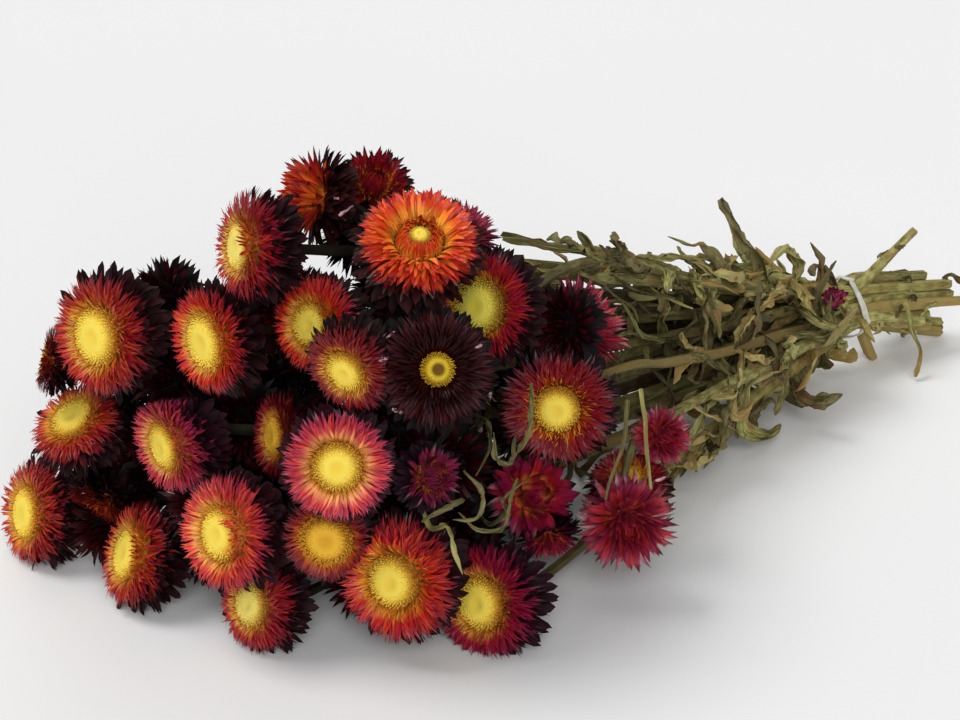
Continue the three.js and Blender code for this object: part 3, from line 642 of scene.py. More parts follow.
# Shapes that are copied: how many sides, then height and width of each ring
templates = {
    "bract": (3, [(0, 0.7), (0.4, 1.0), (0.76, 0.72), (1, 0)]),
    "broadBract": (4, [(0, 0.45), (0.32, 0.95), (0.65, 1.0), (0.88, 0.7), (1, 0)]),
    "pointedBract": (4, [(0, 0.5), (0.2, 0.8), (0.42, 1.0), (0.62, 0.94), (0.8, 0.62), (1, 0)]),
    "farBract": (4, [(0, 0.45), (0.3, 0.95), (0.65, 0.8), (1, 0)]),
    "scale": (3, [(0, 0.8), (0.5, 1.0), (1, 0)]),
    "floret": (3, [(0, 0.8), (0.7, 1.0), (1, 0)]),
    "button": (16, [(0, 0.2), (0.12, 0.45), (0.4, 0.85), (0.75, 1.0), (1, 0.96)]),
    "dome": (28, [(0, 1.0), (0.3, 0.98), (0.5, 0.8), (0.65, 0.6), (0.8, 0.42), (0.9, 0.24),
                  (1, 0.1)]),
}


def selectVertices(passes):
    mesh = bmesh.from_edit_mesh(bpy.context.object.data)
    for vertex in mesh.verts:
        vertex.select = passes(vertex.co)
    mesh.select_flush_mode()
    mesh.select_flush(True)
    bmesh.update_edit_mesh(bpy.context.object.data)


def selectLengthwise():
    mesh = bmesh.from_edit_mesh(bpy.context.object.data)
    for part in list(mesh.faces) + list(mesh.edges) + list(mesh.verts):
        part.select = False
    for edge in mesh.edges:
        edge.select = abs(edge.verts[0].co.z - edge.verts[1].co.z) > 0.5
    bmesh.update_edit_mesh(bpy.context.object.data)


def turnedTemplate(sides, rings):  # a prism one unit high, its rings widened, closed at both ends
    bpy.ops.mesh.primitive_cylinder_add(vertices=sides, radius=1, depth=1, location=(0, 0, 0))
    ob = bpy.context.object
    bpy.ops.object.mode_set(mode="EDIT")
    bpy.ops.mesh.select_mode(type="EDGE")
    selectLengthwise()
    bpy.ops.mesh.subdivide(number_cuts=len(rings) - 2)
    bpy.ops.mesh.select_mode(type="VERT")
    step = 1 / (len(rings) - 1)
    for k, (height, width) in reversed(list(enumerate(rings))):
        level = k * step - 0.5
        selectVertices(lambda co: abs(co.z - level) < 1e-4)
        if width:
            bpy.ops.transform.resize(value=(width, width, 1))
        bpy.ops.transform.translate(value=(0, 0, height + 1 - level))
        if not width:
            bpy.ops.mesh.merge(type="CENTER")
    bpy.ops.object.mode_set(mode="OBJECT")
    co = np.array([v.co[:] for v in ob.data.vertices]) - (0, 0, 1)
    faces = [tuple(p.vertices) for p in ob.data.polygons]
    bpy.data.objects.remove(ob)
    return co, faces


shapes = {name: turnedTemplate(*values) for name, values in templates.items()}
print("templates modelled:", {name: len(faces) for name, (co, faces) in shapes.items()})

attributeNames = ("along", "tier", "seed", "under")  # what the materials read, one value a point


def newPart(co, faces, slot=0, strip=(0, 0), **values):
    points = co.shape[:-1]
    part = {"co": co.reshape(-1, 3), "faces": faces, "slot": slot}
    part["strip"] = np.broadcast_to(strip, points + (2,)).reshape(-1, 2)
    for name in attributeNames:
        part[name] = np.broadcast_to(values.get(name, 0.0), points).reshape(-1)
    return part


def facesOfCopies(faces, vertexCount, copies):
    return [tuple(v + c * vertexCount for v in face) for c in range(copies) for face in faces]


def makePiece(name, parts, materials, sharp=48):
    co = np.concatenate([p["co"] for p in parts])
    faces, slots, first = [], [], 0
    for part in parts:
        faces += [tuple(v + first for v in face) for face in part["faces"]]
        slots += [part["slot"]] * len(part["faces"])
        first += len(part["co"])
    mesh = bpy.data.meshes.new(name)
    mesh.from_pydata(co * mm + np.array(shift), [], faces)
    mesh.polygons.foreach_set("material_index", slots)
    for attribute in attributeNames:
        values = np.concatenate([p[attribute] for p in parts]).astype(np.float32)
        mesh.attributes.new(attribute, "FLOAT", "POINT").data.foreach_set("value", values)
    strip = np.concatenate([p["strip"] for p in parts])
    corners = np.zeros(len(mesh.loops), np.int32)
    mesh.loops.foreach_get("vertex_index", corners)
    uv = strip[corners].astype(np.float32).ravel()
    mesh.uv_layers.new(name="strip").data.foreach_set("uv", uv)
    mesh.shade_smooth()
    mesh.set_sharp_from_angle(angle=math.radians(sharp))
    for material in materials:
        mesh.materials.append(material)
    piece = bpy.data.objects.new(name, mesh)
    bpy.context.scene.collection.objects.link(piece)
    return piece


# Layers of bracts. Sizes are shares of the head's radius and angles are degrees, and each row of
# values goes from the innermost bracts to the outermost
tierStops = np.linspace(0, 1, 6)
facePaper = {  # the narrow bracts round the disc, close as fur
    "count": 600, "shape": "bract", "slot": 0, "tiers": (0, 0.62),
    "rootRadius": (0.43, 0.43, 0.41, 0.37, 0.34, 0.31),
    "rootHeight": (0.06, 0.01, -0.05, -0.11, -0.17, -0.24),
    "lean": (70, 62, 54, 44, 32, 18), "bend": (48, 52, 54, 54, 52, 48),
    "length": (0.36, 0.46, 0.56, 0.65, 0.69, 0.70),
    "width": (0.044, 0.05, 0.056, 0.062, 0.068, 0.074),
}
backPaper = {  # the broad dark bracts that bulge behind them
    "count": 130, "shape": "broadBract", "slot": 2, "tiers": (0.74, 1),
    "rootRadius": (0.34, 0.33, 0.30, 0.26, 0.21, 0.14),
    "rootHeight": (-0.2, -0.25, -0.3, -0.35, -0.4, -0.44),
    "lean": (24, 14, 2, -12, -26, -40), "bend": (22, 26, 30, 30, 24, 16),
    "length": (0.73, 0.76, 0.78, 0.77, 0.70, 0.5), "width": (0.15, 0.17, 0.18, 0.19, 0.2, 0.2),
}
starPaper = {  # glossy bracts of the half-open and hanging heads
    "count": 120, "shape": "pointedBract", "slot": 0, "tiers": (0, 0.66), "channel": 0.7,
    "rootRadius": (0.10, 0.20, 0.28, 0.32, 0.30, 0.26),
    "rootHeight": (-0.02, -0.05, -0.1, -0.16, -0.22, -0.3),
    "lean": (86, 76, 64, 50, 32, 10), "bend": (-16, -6, 4, 14, 24, 30),
    "length": (0.40, 0.54, 0.68, 0.78, 0.80, 0.72), "width": (0.09, 0.11, 0.13, 0.145, 0.15, 0.15),
}
cupPaper = {
    **starPaper, "lean": (90, 86, 78, 66, 46, 16), "bend": (-30, -34, -30, -16, 6, 26),
    "rootRadius": (0.16, 0.24, 0.32, 0.35, 0.33, 0.26), "length": (0.44, 0.6, 0.74, 0.82, 0.8, 0.7),
}
flatPaper = {
    **facePaper, "count": 460, "lean": (58, 52, 45, 37, 28, 16), "bend": (36, 40, 42, 42, 42, 42),
    "length": (0.48, 0.56, 0.61, 0.65, 0.69, 0.70),
    "width": (0.06, 0.066, 0.072, 0.078, 0.08, 0.084),
}
reflexedPaper = {
    **facePaper, "rootHeight": (0.08, 0.04, -0.01, -0.07, -0.14, -0.22),
    "lean": (56, 47, 38, 28, 16, 4), "bend": (52, 56, 58, 56, 52, 46),
    "length": (0.34, 0.46, 0.57, 0.66, 0.71, 0.73),
}
narrowPaper = {
    **facePaper, "count": 560, "rootRadius": (0.26, 0.30, 0.34, 0.35, 0.33, 0.30),
    "length": (0.34, 0.44, 0.56, 0.66, 0.72, 0.74),
}
farPaper = {
    **facePaper, "count": 220, "shape": "farBract", "width": (0.1, 0.11, 0.12, 0.13, 0.13, 0.13),
}
innerPaper = {**starPaper, "count": 80, "shape": "bract", "tiers": (0.3, 0.8)}
innerBack = {
    **backPaper, "count": 60, "shape": "bract", "width": (0.24, 0.26, 0.28, 0.3, 0.3, 0.3),
}
spikyPaper = {
    **starPaper, "count": 140, "lean": (100, 88, 73, 55, 34, 2), "bend": (-26, -24, -12, 0, 10, 16),
    "length": (0.36, 0.52, 0.70, 0.84, 0.9, 0.8), "width": (0.1, 0.13, 0.15, 0.165, 0.175, 0.17),
}
pointedBack = {**backPaper, "count": 70, "shape": "pointedBract", "slot": 0, "tiers": (0.6, 0.66)}
spikyBack = {**pointedBack, "width": (0.14, 0.15, 0.16, 0.16, 0.16, 0.16)}
halfOpenPaper = {**cupPaper, "count": 170, "width": (0.09, 0.11, 0.13, 0.15, 0.16, 0.16)}
broadCupPaper = {
    **cupPaper, "count": 44, "lean": (88, 84, 74, 60, 42, 18), "bend": (-44, -40, -26, -6, 10, 24),
    "rootRadius": (0.28, 0.32, 0.36, 0.37, 0.34, 0.26),
    "length": (0.5, 0.6, 0.74, 0.86, 0.86, 0.74), "width": (0.2, 0.26, 0.32, 0.36, 0.36, 0.32),
}
bowlWall = {  # short bracts that stand round the disc and close over it
    **facePaper, "count": 150, "tiers": (0, 0.16), "shape": "pointedBract",
    "rootRadius": (0.29, 0.31, 0.33, 0.35, 0.37, 0.38),
    "rootHeight": (0.0, -0.01, -0.02, -0.03, -0.04, -0.05),
    "lean": (84, 86, 88, 90, 88, 84), "bend": (-60, -62, -62, -58, -50, -40),
    "length": (0.26, 0.29, 0.32, 0.35, 0.37, 0.39),
    "width": (0.06, 0.066, 0.072, 0.078, 0.08, 0.08),
}
bowlPaper = {
    **facePaper, "count": 440, "tiers": (0.1, 0.6), "shape": "broadBract",
    "lean": (74, 64, 54, 44, 32, 20), "rootRadius": (0.39, 0.4, 0.4, 0.37, 0.34, 0.31),
    "bend": (56, 52, 48, 46, 44, 42), "length": (0.40, 0.48, 0.56, 0.62, 0.68, 0.70),
    "width": (0.06, 0.066, 0.07, 0.074, 0.078, 0.08),
}
budPaper = {
    "count": 60, "shape": "broadBract", "slot": 0, "tiers": (0, 0.7),
    "rootRadius": (0.1, 0.2, 0.3, 0.34, 0.3, 0.16),
    "rootHeight": (-0.2, -0.2, -0.25, -0.3, -0.38, -0.48),
    "lean": (90, 86, 80, 72, 52, 20), "bend": (-20, -30, -40, -34, -10, 10),
    "length": (1.2, 1.5, 1.6, 1.5, 1.1, 0.7), "width": (0.38, 0.46, 0.52, 0.54, 0.5, 0.44),
}
scaleRing = {
    "count": 260, "shape": "scale", "slot": 1, "tiers": (0, 0),
    "rootRadius": (0.385, 0.405, 0.42, 0.43, 0.44, 0.45),
    "rootHeight": (0.15, 0.14, 0.12, 0.1, 0.07, 0.03),
    "lean": (92, 84, 76, 68, 60, 52), "bend": (-14, 0, 12, 24, 34, 40),
    "length": (0.08, 0.11, 0.15, 0.19, 0.24, 0.28),
    "width": (0.018, 0.02, 0.022, 0.024, 0.026, 0.028),
}
habits = {
    "open": [facePaper, backPaper],
    "flat": [flatPaper, backPaper],
    "reflexed": [reflexedPaper, backPaper],
    "narrow": [narrowPaper, backPaper],
    "far": [farPaper, {**backPaper, "shape": "farBract"}],
    "inner": [innerPaper, innerBack],
    "bristly": [starPaper, backPaper],
    "star": [spikyPaper, spikyBack],
    "halfOpen": [halfOpenPaper, backPaper],
    "broadCup": [broadCupPaper, pointedBack],
    "bowl": [bowlWall, bowlPaper, backPaper],
    "bud": [budPaper],
}
scaleCounts = {"bowl": 60, "bristly": 60}
noScales = ("inner", "far", "narrow", "star", "broadCup")
noDiscs = ("inner", "star", "broadCup")
brightCentres = ("star", "bristly", "broadCup", "halfOpen")
discShares = {"narrow": 0.27, "bowl": 0.17, "bristly": 0.1, "halfOpen": 0.14}  # by habit
wideDiscs = {1: 0.46, 2: 0.52, 7: 0.48, 9: 0.36, 12: 0.43, 13: 0.38, 16: 0.41, 17: 0.48, 18: 0.48,
             19: 0.48, 21: 0.6, 29: 0.34}  # by number
bractBuild = {
    "thickness": 0.24,  # mm
    "channel": 0.34,  # how far the margins stand above the midline, against half the width
    "leanJitter": 6, "bendJitter": 8, "twist": 22, "sway": 0.1, "aroundJitter": 0.04,
    "lengths": (0.9, 1.06), "widths": (0.8, 1.15),
    "goldenAngle": math.pi * (3 - math.sqrt(5)),
    "give": 0.7,  # how much of an overlap with a neighbour the bracts give way to
    "near": 2,  # mm between heads that still touch
    "groundClear": 0.25,  # mm
}
leanIn = {  # on one side of these heads the inner bracts never opened: they lie across the disc
    "heads": (3, 5, 10, 15, 17, 19), "side": np.array((0.7, -0.64, 0.3)), "tiers": 0.45,
    "degrees": 62, "uneven": (0.5, 1.2),
}


def unitVectors(bloom):
    across, over = sideways(bloom["facing"])
    return [np.array(v) for v in (bloom["facing"], across, over)]


def settle(bloom, co):  # bracts bend aside where heads press together, and flatten on the ground
    for other in blooms:
        span = (other["heart"] - bloom["heart"]).length
        if other is bloom or span > bloom["radius"] + other["radius"] + bractBuild["near"]:
            continue
        towards = (other["heart"] - bloom["heart"]) / span
        mine, theirs = reachOf(bloom, towards), reachOf(other, -towards)
        past = co @ np.array(towards) - span * mine / (mine + theirs)
        co = co - np.maximum(past, 0)[..., None] * np.array(towards) * bractBuild["give"]
    lowest = bractBuild["groundClear"] - bloom["heart"].z
    co[..., 2] = np.maximum(co[..., 2], lowest)
    return co + np.array(bloom["heart"])


def placeUpright(bloom, height, wide):  # a template that stands on the head's axis
    facing, across, over = unitVectors(bloom)
    co = np.outer(height, facing) + np.outer(wide[:, 0], across) + np.outer(wide[:, 1], over)
    return settle(bloom, co)


def placeAround(bloom, turn, outward, upward, aside):  # copies turned about the head's axis
    facing, across, over = unitVectors(bloom)
    radial = np.cos(turn)[..., None] * across + np.sin(turn)[..., None] * over
    tangent = np.cos(turn)[..., None] * over - np.sin(turn)[..., None] * across
    co = radial * outward[..., None] + facing * upward[..., None] + tangent * aside[..., None]
    return settle(bloom, co)


def spiralTurns(count):
    return (np.arange(count) * bractBuild["goldenAngle"])[:, None]


def discGrowth(bloom, layer):  # how much further out the innermost bracts stand on a wide disc
    usual = disc["share"] if layer["slot"] == 1 else discShares.get(bloom["habit"], disc["share"])
    return discShare(bloom) - usual


def closedLean(bloom, around, tier, roll):  # extra lean of the bracts that never opened
    _, across, over = unitVectors(bloom)
    side = math.atan2(leanIn["side"] @ over, leanIn["side"] @ across)
    inner = np.clip(1 - tier / leanIn["tiers"], 0, 1)
    closed = np.maximum(np.cos(around - side), 0) ** 2 * inner
    uneven = roll.uniform(*leanIn["uneven"], (len(tier), 1))
    return closed * math.radians(leanIn["degrees"]) * uneven


def bractPart(bloom, layer, seed):  # a spiral of bracts: arcs that leave the button and bend over
    co, faces = shapes[layer["shape"]]
    x, y, z = co.T
    count, size = layer["count"], bloom["radius"]
    roll = np.random.default_rng(seed)
    tier = (np.arange(count)[:, None] + 0.5) / count

    def spread(name):
        return roll.normal(0, bractBuild[name], (count, 1))

    def valueOf(name):
        return np.interp(tier, tierStops, layer[name])

    lean = np.radians(valueOf("lean") + spread("leanJitter"))
    bend = np.radians(valueOf("bend") + spread("bendJitter")) + 1e-4
    length = valueOf("length") * size * roll.uniform(*bractBuild["lengths"], (count, 1))
    half = valueOf("width") * size * roll.uniform(*bractBuild["widths"], (count, 1)) / 2
    around = spiralTurns(count) + spread("aroundJitter")
    turn = around + spread("sway") * z ** 2
    if bloom["number"] in leanIn["heads"] and layer["slot"] == 0:
        lean = lean + closedLean(bloom, around, tier, roll)
    twist = np.radians(spread("twist")) * z
    slope = lean - bend * z
    rootRadius = valueOf("rootRadius") + discGrowth(bloom, layer) * (1 - tier)
    outward = rootRadius * size + length * (np.sin(lean) - np.sin(slope)) / bend
    upward = valueOf("rootHeight") * size + length * (np.cos(slope) - np.cos(lean)) / bend
    channel = np.abs(x) * half * layer.get("channel", bractBuild["channel"])
    flat, thick = x * half, y * bractBuild["thickness"] / 2 + channel
    aside = flat * np.cos(twist) - thick * np.sin(twist)
    raised = flat * np.sin(twist) + thick * np.cos(twist)
    placed = placeAround(bloom, turn, outward - np.sin(slope) * raised,
                         upward + np.cos(slope) * raised, aside)
    return newPart(placed, facesOfCopies(faces, len(co), count), layer["slot"],
                   np.stack(np.broadcast_arrays(x, z), -1), along=z,
                   tier=between(layer["tiers"], tier), seed=roll.random((count, 1)),
                   under=(y < -0.6).astype(float))


button = {"low": -0.56, "high": -0.02, "radius": 0.4}


def buttonPart(bloom):  # what the bracts grow from: it closes the head behind the disc
    co, faces = shapes["button"]
    height = between((button["low"], button["high"]), co[:, 2]) * bloom["radius"]
    placed = placeUpright(bloom, height, co[:, :2] * button["radius"] * bloom["radius"])
    slot = 0 if bloom["habit"] in brightCentres else 2
    return newPart(placed, faces, slot, co[:, :2], along=0.5)


disc = {
    "share": 0.42,  # of the head's radius
    "foot": 0.12, "dome": 0.13, "dimple": 0.045, "dimpleWidth": 0.16,
    "flesh": 1.02, "fleshFoot": -0.2,  # what the florets stand on reaches a little past them
    "florets": 300, "from": 0.48,  # where the florets begin
    "height": (0.15, 1.0),  # mm, there and at the rim
    "rooted": 1,  # mm, how deep they stand in the flesh
    "leanOut": 38,  # degrees, at the rim
    "leanJitter": 0.1, "aroundJitter": 0.03, "widths": (0.8, 1.2), "heights": (0.75, 1.3),
    "sunk": 0.45,  # mm, from the tips at the rim down to the flesh between them
}


def discShare(bloom):
    return wideDiscs.get(bloom["number"], discShares.get(bloom["habit"], disc["share"]))


def discHeight(share):
    hollow = disc["dimple"] * np.exp(-(share / disc["dimpleWidth"]) ** 2)
    return disc["foot"] + disc["dome"] * (1 - share ** 3) - hollow


def domePart(bloom):  # the flesh that the florets stand on
    co, faces = shapes["dome"]
    size = bloom["radius"]
    share = np.linalg.norm(co[:, :2], axis=1)
    sunk = disc["sunk"] * np.interp(share, (disc["from"], 1), (0, 1))
    height = np.where(co[:, 2] < 0.1, disc["fleshFoot"], discHeight(share)) * size - sunk
    placed = placeUpright(bloom, height, co[:, :2] * discShare(bloom) * disc["flesh"] * size)
    # darker towards the rim: the flesh between the florets takes the painted gap shade
    depth = np.interp(share, (disc["from"], 0.8), (1, 0.3))
    return newPart(placed, faces, along=share, tier=depth, seed=0.5)


def floretPart(bloom):  # open florets packed in a spiral round the smooth middle
    co, faces = shapes["floret"]
    count, size = disc["florets"], bloom["radius"]
    roll = np.random.default_rng(bloom["number"] * 7 + 1)
    share = np.sqrt(between((disc["from"] ** 2, 1), (np.arange(count) + 0.5) / count))[:, None]
    turn = spiralTurns(count) + roll.normal(0, disc["aroundJitter"], (count, 1))
    wide = discShare(bloom) * size
    room = wide * math.sqrt(math.pi * (1 - disc["from"] ** 2) / count) / 2
    half = room * roll.uniform(*disc["widths"], (count, 1))
    tall = np.interp(share, (disc["from"], 1), disc["height"])
    tall = tall * roll.uniform(*disc["heights"], (count, 1))
    lean = np.radians(disc["leanOut"]) * share ** 2 + roll.normal(0, disc["leanJitter"], (count, 1))
    x, y = co[:, 0] * half, co[:, 1] * half
    z = co[:, 2] * (tall + disc["rooted"]) - disc["rooted"]
    outward = share * wide + x * np.cos(lean) + z * np.sin(lean)
    upward = discHeight(share) * size - x * np.sin(lean) + z * np.cos(lean)
    placed = placeAround(bloom, turn, outward, upward, y)
    # tier is the height up each floret: its foot takes the painted gap shade
    return newPart(placed, facesOfCopies(faces, len(co), count), along=share, tier=co[:, 2],
                   seed=roll.random((count, 1)))


def smoothLine(points, step):  # a smooth curve through the points, at about equal steps
    given = np.array([p[:] for p in points], float)
    padded = np.vstack([2 * given[0] - given[1], given, 2 * given[-1] - given[-2]])
    line = []
    for a, b, c, d in zip(padded, padded[1:], padded[2:], padded[3:]):
        for t in np.linspace(0, 1, max(int(np.linalg.norm(c - b) / step), 1), endpoint=False):
            cubic = 2 * a - 5 * b + 4 * c - d + t * (3 * (b - c) + d - a)
            line.append(b + 0.5 * t * (c - a + t * cubic))
    return np.array(line + [given[-1]])


def pointsAt(line, places):  # points between those of a line, by their place in it
    return np.stack([np.interp(places, np.arange(len(line)), column) for column in line.T], -1)


def crossing(line, x):  # where a line passes a station along the bunch
    return line[np.argmin(np.abs(line[:, 0] - x))]


def framesAlong(line, up):  # directions along, to the side and over, turned as little as can be
    along = np.gradient(line, axis=0)
    along /= np.linalg.norm(along, axis=1)[:, None]
    side = np.cross(along[0], np.array(up))
    sides = []
    for direction in along:
        side = side - direction * (side @ direction)
        side = side / np.linalg.norm(side)
        sides.append(side)
    sides = np.array(sides)
    return along, sides, np.cross(sides, along)


def smoothNoise(roll, count, pitch, amount):  # a wandering value, with a knot every so many steps
    knots = max(int(count / pitch), 1) + 2
    places = np.linspace(0, knots - 1, count)
    return np.interp(places, np.arange(knots), roll.normal(0, amount, knots))


def ringFaces(rings, sides, isLoop=False):  # the faces of a tube, closed at its ends or joined
    faces = []
    for r in range(rings if isLoop else rings - 1):
        for k in range(sides):
            after, n = (r + 1) % rings * sides, (k + 1) % sides
            faces.append((r * sides + k, r * sides + n, after + n, after + k))
    if isLoop:
        return faces
    last = (rings - 1) * sides
    return faces + [tuple(range(sides - 1, -1, -1)), tuple(range(last, last + sides))]


stemBuild = {
    "sides": 10, "thinSides": 8, "ridges": 4, "ridgeDepth": 0.16, "turn": 2.2,
    "step": 4.5,  # mm between rings
    "wander": 0.4, "wanderKnots": 6, "swell": 0.08, "swellKnots": 3,
    "calmEnds": 12,  # a stem doesn't wander over the first and last part in so many
    "neckGrowth": 0.18,  # mm a point of the route, from the neck to the full radius
    "tail": 0.8,  # the cut ends are thinner than in the band
    "paintedShadePlaces": (-45, 20, 60, 150, 185), "dark": (1, 0.5, 0.18, 0.1, 0),  # painted shade: black near the heads
    "innerPaintedShade": 0.75, "innerShare": (0.5, 1.0), "innerEnds": (150, 180),  # and painted shade inside the bunch
    "longSeed": 0.62,  # the colour of the long stem
    "groundClear": 0.1,  # mm
}
reachBuild = {"ends": (-60, 241), "pitch": 10, "step": 3}  # mm
stemLines = [smoothLine(points, reachBuild["step"]) for points in mainRoutes]


def bunchReach():  # middle and half height and width of the stems, at places along the bunch
    places = np.arange(*reachBuild["ends"], reachBuild["pitch"])
    rings = np.array([[crossing(line, x)[1:] for line in stemLines] for x in places])
    low, high = rings.min(1), rings.max(1)
    return places, (low + high) / 2, (high - low) / 2 + bunch["stemRadius"] + bunch["clear"]


reach = bunchReach()


def paintedBunchShade(co):  # painted shade: 0 on the clean outside, 1 in the dark of the bunch and near the heads
    places, middle, half = reach
    x = co[..., 0]
    offset = [(co[..., c + 1] - np.interp(x, places, middle[:, c]))
              / np.interp(x, places, half[:, c]) for c in (0, 1)]
    inner = np.interp(np.hypot(*offset), stemBuild["innerShare"], (stemBuild["innerPaintedShade"], 0))
    inner = inner * np.interp(x, stemBuild["innerEnds"], (1, 0.2))
    return np.maximum(inner, np.interp(x, stemBuild["paintedShadePlaces"], stemBuild["dark"]))


def stemPart(points, radii, number, sides=stemBuild["sides"], paintedShadeShare=1):
    roll = np.random.default_rng(500 + number)
    line = smoothLine(points, stemBuild["step"])
    count = len(line)
    share = np.linspace(0, 1, count)
    _, side, over = framesAlong(line, (0.1, 0.2, 1))
    calm = np.clip(np.minimum(share, 1 - share) * stemBuild["calmEnds"], 0, 1)[:, None]
    aside, up = [smoothNoise(roll, count, stemBuild["wanderKnots"], stemBuild["wander"])[:, None]
                 for _ in range(2)]
    line = line + calm * (side * aside + over * up)
    radius = np.interp(share, np.linspace(0, 1, len(radii)), radii)
    swell = smoothNoise(roll, count, stemBuild["swellKnots"], stemBuild["swell"])
    radius = radius * (1 + swell)
    angle = np.linspace(0, 2 * math.pi, sides, endpoint=False)
    turned = stemBuild["ridges"] * (angle + roll.random() * 6) + share[:, None] * stemBuild["turn"]
    ring = radius[:, None] * (1 + stemBuild["ridgeDepth"] * np.cos(turned))
    co = (line[:, None] + side[:, None] * (ring * np.cos(angle))[..., None]
          + over[:, None] * (ring * np.sin(angle))[..., None])
    co[..., 2] = np.maximum(co[..., 2], stemBuild["groundClear"])
    around = np.abs(np.arange(sides) * 2 / sides - 1)
    length = np.linspace(0, stemBuild["step"] * count / 10, count)[:, None]
    strip = np.stack(np.broadcast_arrays(around[None], length), -1)
    # tier carries the painted shade of the bunch, scaled by the share given
    return newPart(co, ringFaces(count, sides), 0, strip, along=share[:, None],
                   tier=paintedBunchShade(co) * paintedShadeShare, seed=roll.random())


leafBuild = {
    "stations": 20, "brokenStations": 14, "flakeStations": 6, "across": (-1, -0.5, 0, 0.5, 1),
    "thickness": 0.3, "curl": (0.6, 2.3), "uneven": 0.4, "fold": 0.3, "knots": 3,
    "twist": 0.16, "paleTwist": 0.55,
    "margin": 0.14,  # raggedness
    "shrunk": 0.8, "collapsed": (9, 14), "collapsedShare": 0.4,
    "shredWidth": 2.6, "flakeWidth": 1.7, "tailWidth": 0.55,
    "blade": ((0, 0.4), (0.2, 0.8), (0.5, 1.0), (0.78, 0.8), (0.93, 0.42), (1, 0.1)),
    "strap": ((0, 0.7), (0.15, 1.0), (0.3, 0.8), (0.6, 0.62), (0.85, 0.72), (0.97, 0.8), (1, 0.5)),
    "paintedShadeShare": 0.8,  # how far the painted shade inside the bunch darkens a leaf
    "groundClear": 0.15,  # mm
}
# the placed leaves in order: share of the width left after drying, pale or not, outline
placedLooks = [(1.5, 0, "strap"), (0.6, 0, "blade"), (0.75, 0, "blade"), (0.7, 0, "blade"),
               (0.62, 0, "strap"), (0.8, 0, "blade"), (0.6, 1, "blade"), (0.5, 1, "blade"),
               (0.5, 1, "blade"), (1.0, 0, "strap"), (0.9, 0, "strap")]


def leafSection(roll, share, half):  # across a leaf: margins rolled in, folded and ragged
    count, cross = len(share), np.array(leafBuild["across"])
    ragged = 1 + roll.normal(0, leafBuild["margin"], (count, len(cross))) * np.abs(cross) ** 3
    curl = roll.uniform(*leafBuild["curl"]) * roll.choice((-1, 1))
    curl = curl * (1 + smoothNoise(roll, count, leafBuild["knots"], leafBuild["uneven"])) + 1e-3
    bent = curl[:, None] * cross * ragged
    flat = half[:, None] * np.sin(bent) / curl[:, None]
    rise = half[:, None] * (1 - np.cos(bent)) / curl[:, None]
    folds = roll.normal(0, leafBuild["fold"], (count, len(cross)))
    folds = (folds + np.roll(folds, 1, 0) + np.roll(folds, -1, 0)) / 1.7
    return flat, rise + half[:, None] * folds * np.interp(share, (0, 0.2, 1), (0.1, 1, 1))[:, None]


def leafPart(points, width, number, pale=0, outline="blade", stations=leafBuild["stations"]):
    roll = np.random.default_rng(9000 + number)
    line = smoothLine(points, 1)
    line = pointsAt(line, np.linspace(0, len(line) - 1, stations))
    share = np.linspace(0, 1, stations)
    _, side, over = framesAlong(line, leafRule["up"])
    twist = leafBuild["paleTwist" if pale else "twist"]
    turn = np.cumsum(smoothNoise(roll, stations, leafBuild["knots"], twist))[:, None]
    cos, sin = np.cos(turn), np.sin(turn)
    side, over = side * cos + over * sin, over * cos - side * sin
    half = np.interp(share, *zip(*leafBuild[outline])) * width / 2
    flat, rise = leafSection(roll, share, half)
    top = line[:, None] + side[:, None] * flat[..., None] + over[:, None] * rise[..., None]
    under = top - over[:, None] * leafBuild["thickness"]
    co = np.concatenate([top, under[:, ::-1]], 1)
    co[..., 2] = np.maximum(co[..., 2], leafBuild["groundClear"])
    cross = np.array(leafBuild["across"])
    rim = np.concatenate([cross, cross[::-1]])
    strip = np.stack(np.broadcast_arrays(rim[None], share[:, None] * 3), -1)
    faces = [face[::-1] for face in ringFaces(stations, len(rim))]
    # tier carries the painted shade of the bunch; pale leaves take none
    return newPart(co, faces, pale, strip, along=share[:, None], seed=roll.random(),
                   under=np.repeat((0.0, 1.0), len(cross)),
                   tier=paintedBunchShade(co) * (0 if pale else leafBuild["paintedShadeShare"]))


def shrivelled(points, number):  # a dried leaf draws back towards its root, some more than others
    kept = leafBuild["collapsedShare" if number in leafBuild["collapsed"] else "shrunk"]
    return [points[0].lerp(p, kept) for p in points]


massBuild = {  # short broken leaves that lie along the stems and fill between them
    "count": 500, "seed": 311, "offBand": 6,
    "length": (13, 36), "steps": 5, "lift": (0.2, 7.5), "scatter": 3,
    "turn": 0.7, "bend": 0.42, "wind": 0.3,  # rad: heading, then the arc and what wavers, a step
    "climb": (-0.1, 0.5), "rooted": 0.6,
    "widthPlaces": (-20, 50, 140), "narrow": (1.4, 2, 3.6), "wide": (3.6, 5, 9.5),
    "stretch": (0.27, 0.86),  # where along the stems
}
# scraps of leaf and stalk left on the stems beyond the band
tailScraps = {**massBuild, "count": 46, "length": (5, 13), "lift": (0.1, 2.5),
              "stretch": (0.88, 0.995), "narrow": (2, 2, 2), "wide": (4.5, 4.5, 4.5)}


def rootOnStem(roll, line, rule):  # a spot on a stem, and the directions along and outward
    spot = int(roll.uniform(*rule["stretch"]) * (len(line) - 1))
    root = line[spot]
    along = line[max(spot - 1, 0)] - line[min(spot + 1, len(line) - 1)]
    along /= np.linalg.norm(along)
    middle = np.mean([crossing(other, root[0]) for other in stemLines], 0)
    outward = root - middle + roll.normal(0, rule["scatter"], 3)
    outward -= along * (outward @ along)
    return root, along, outward / np.linalg.norm(outward)


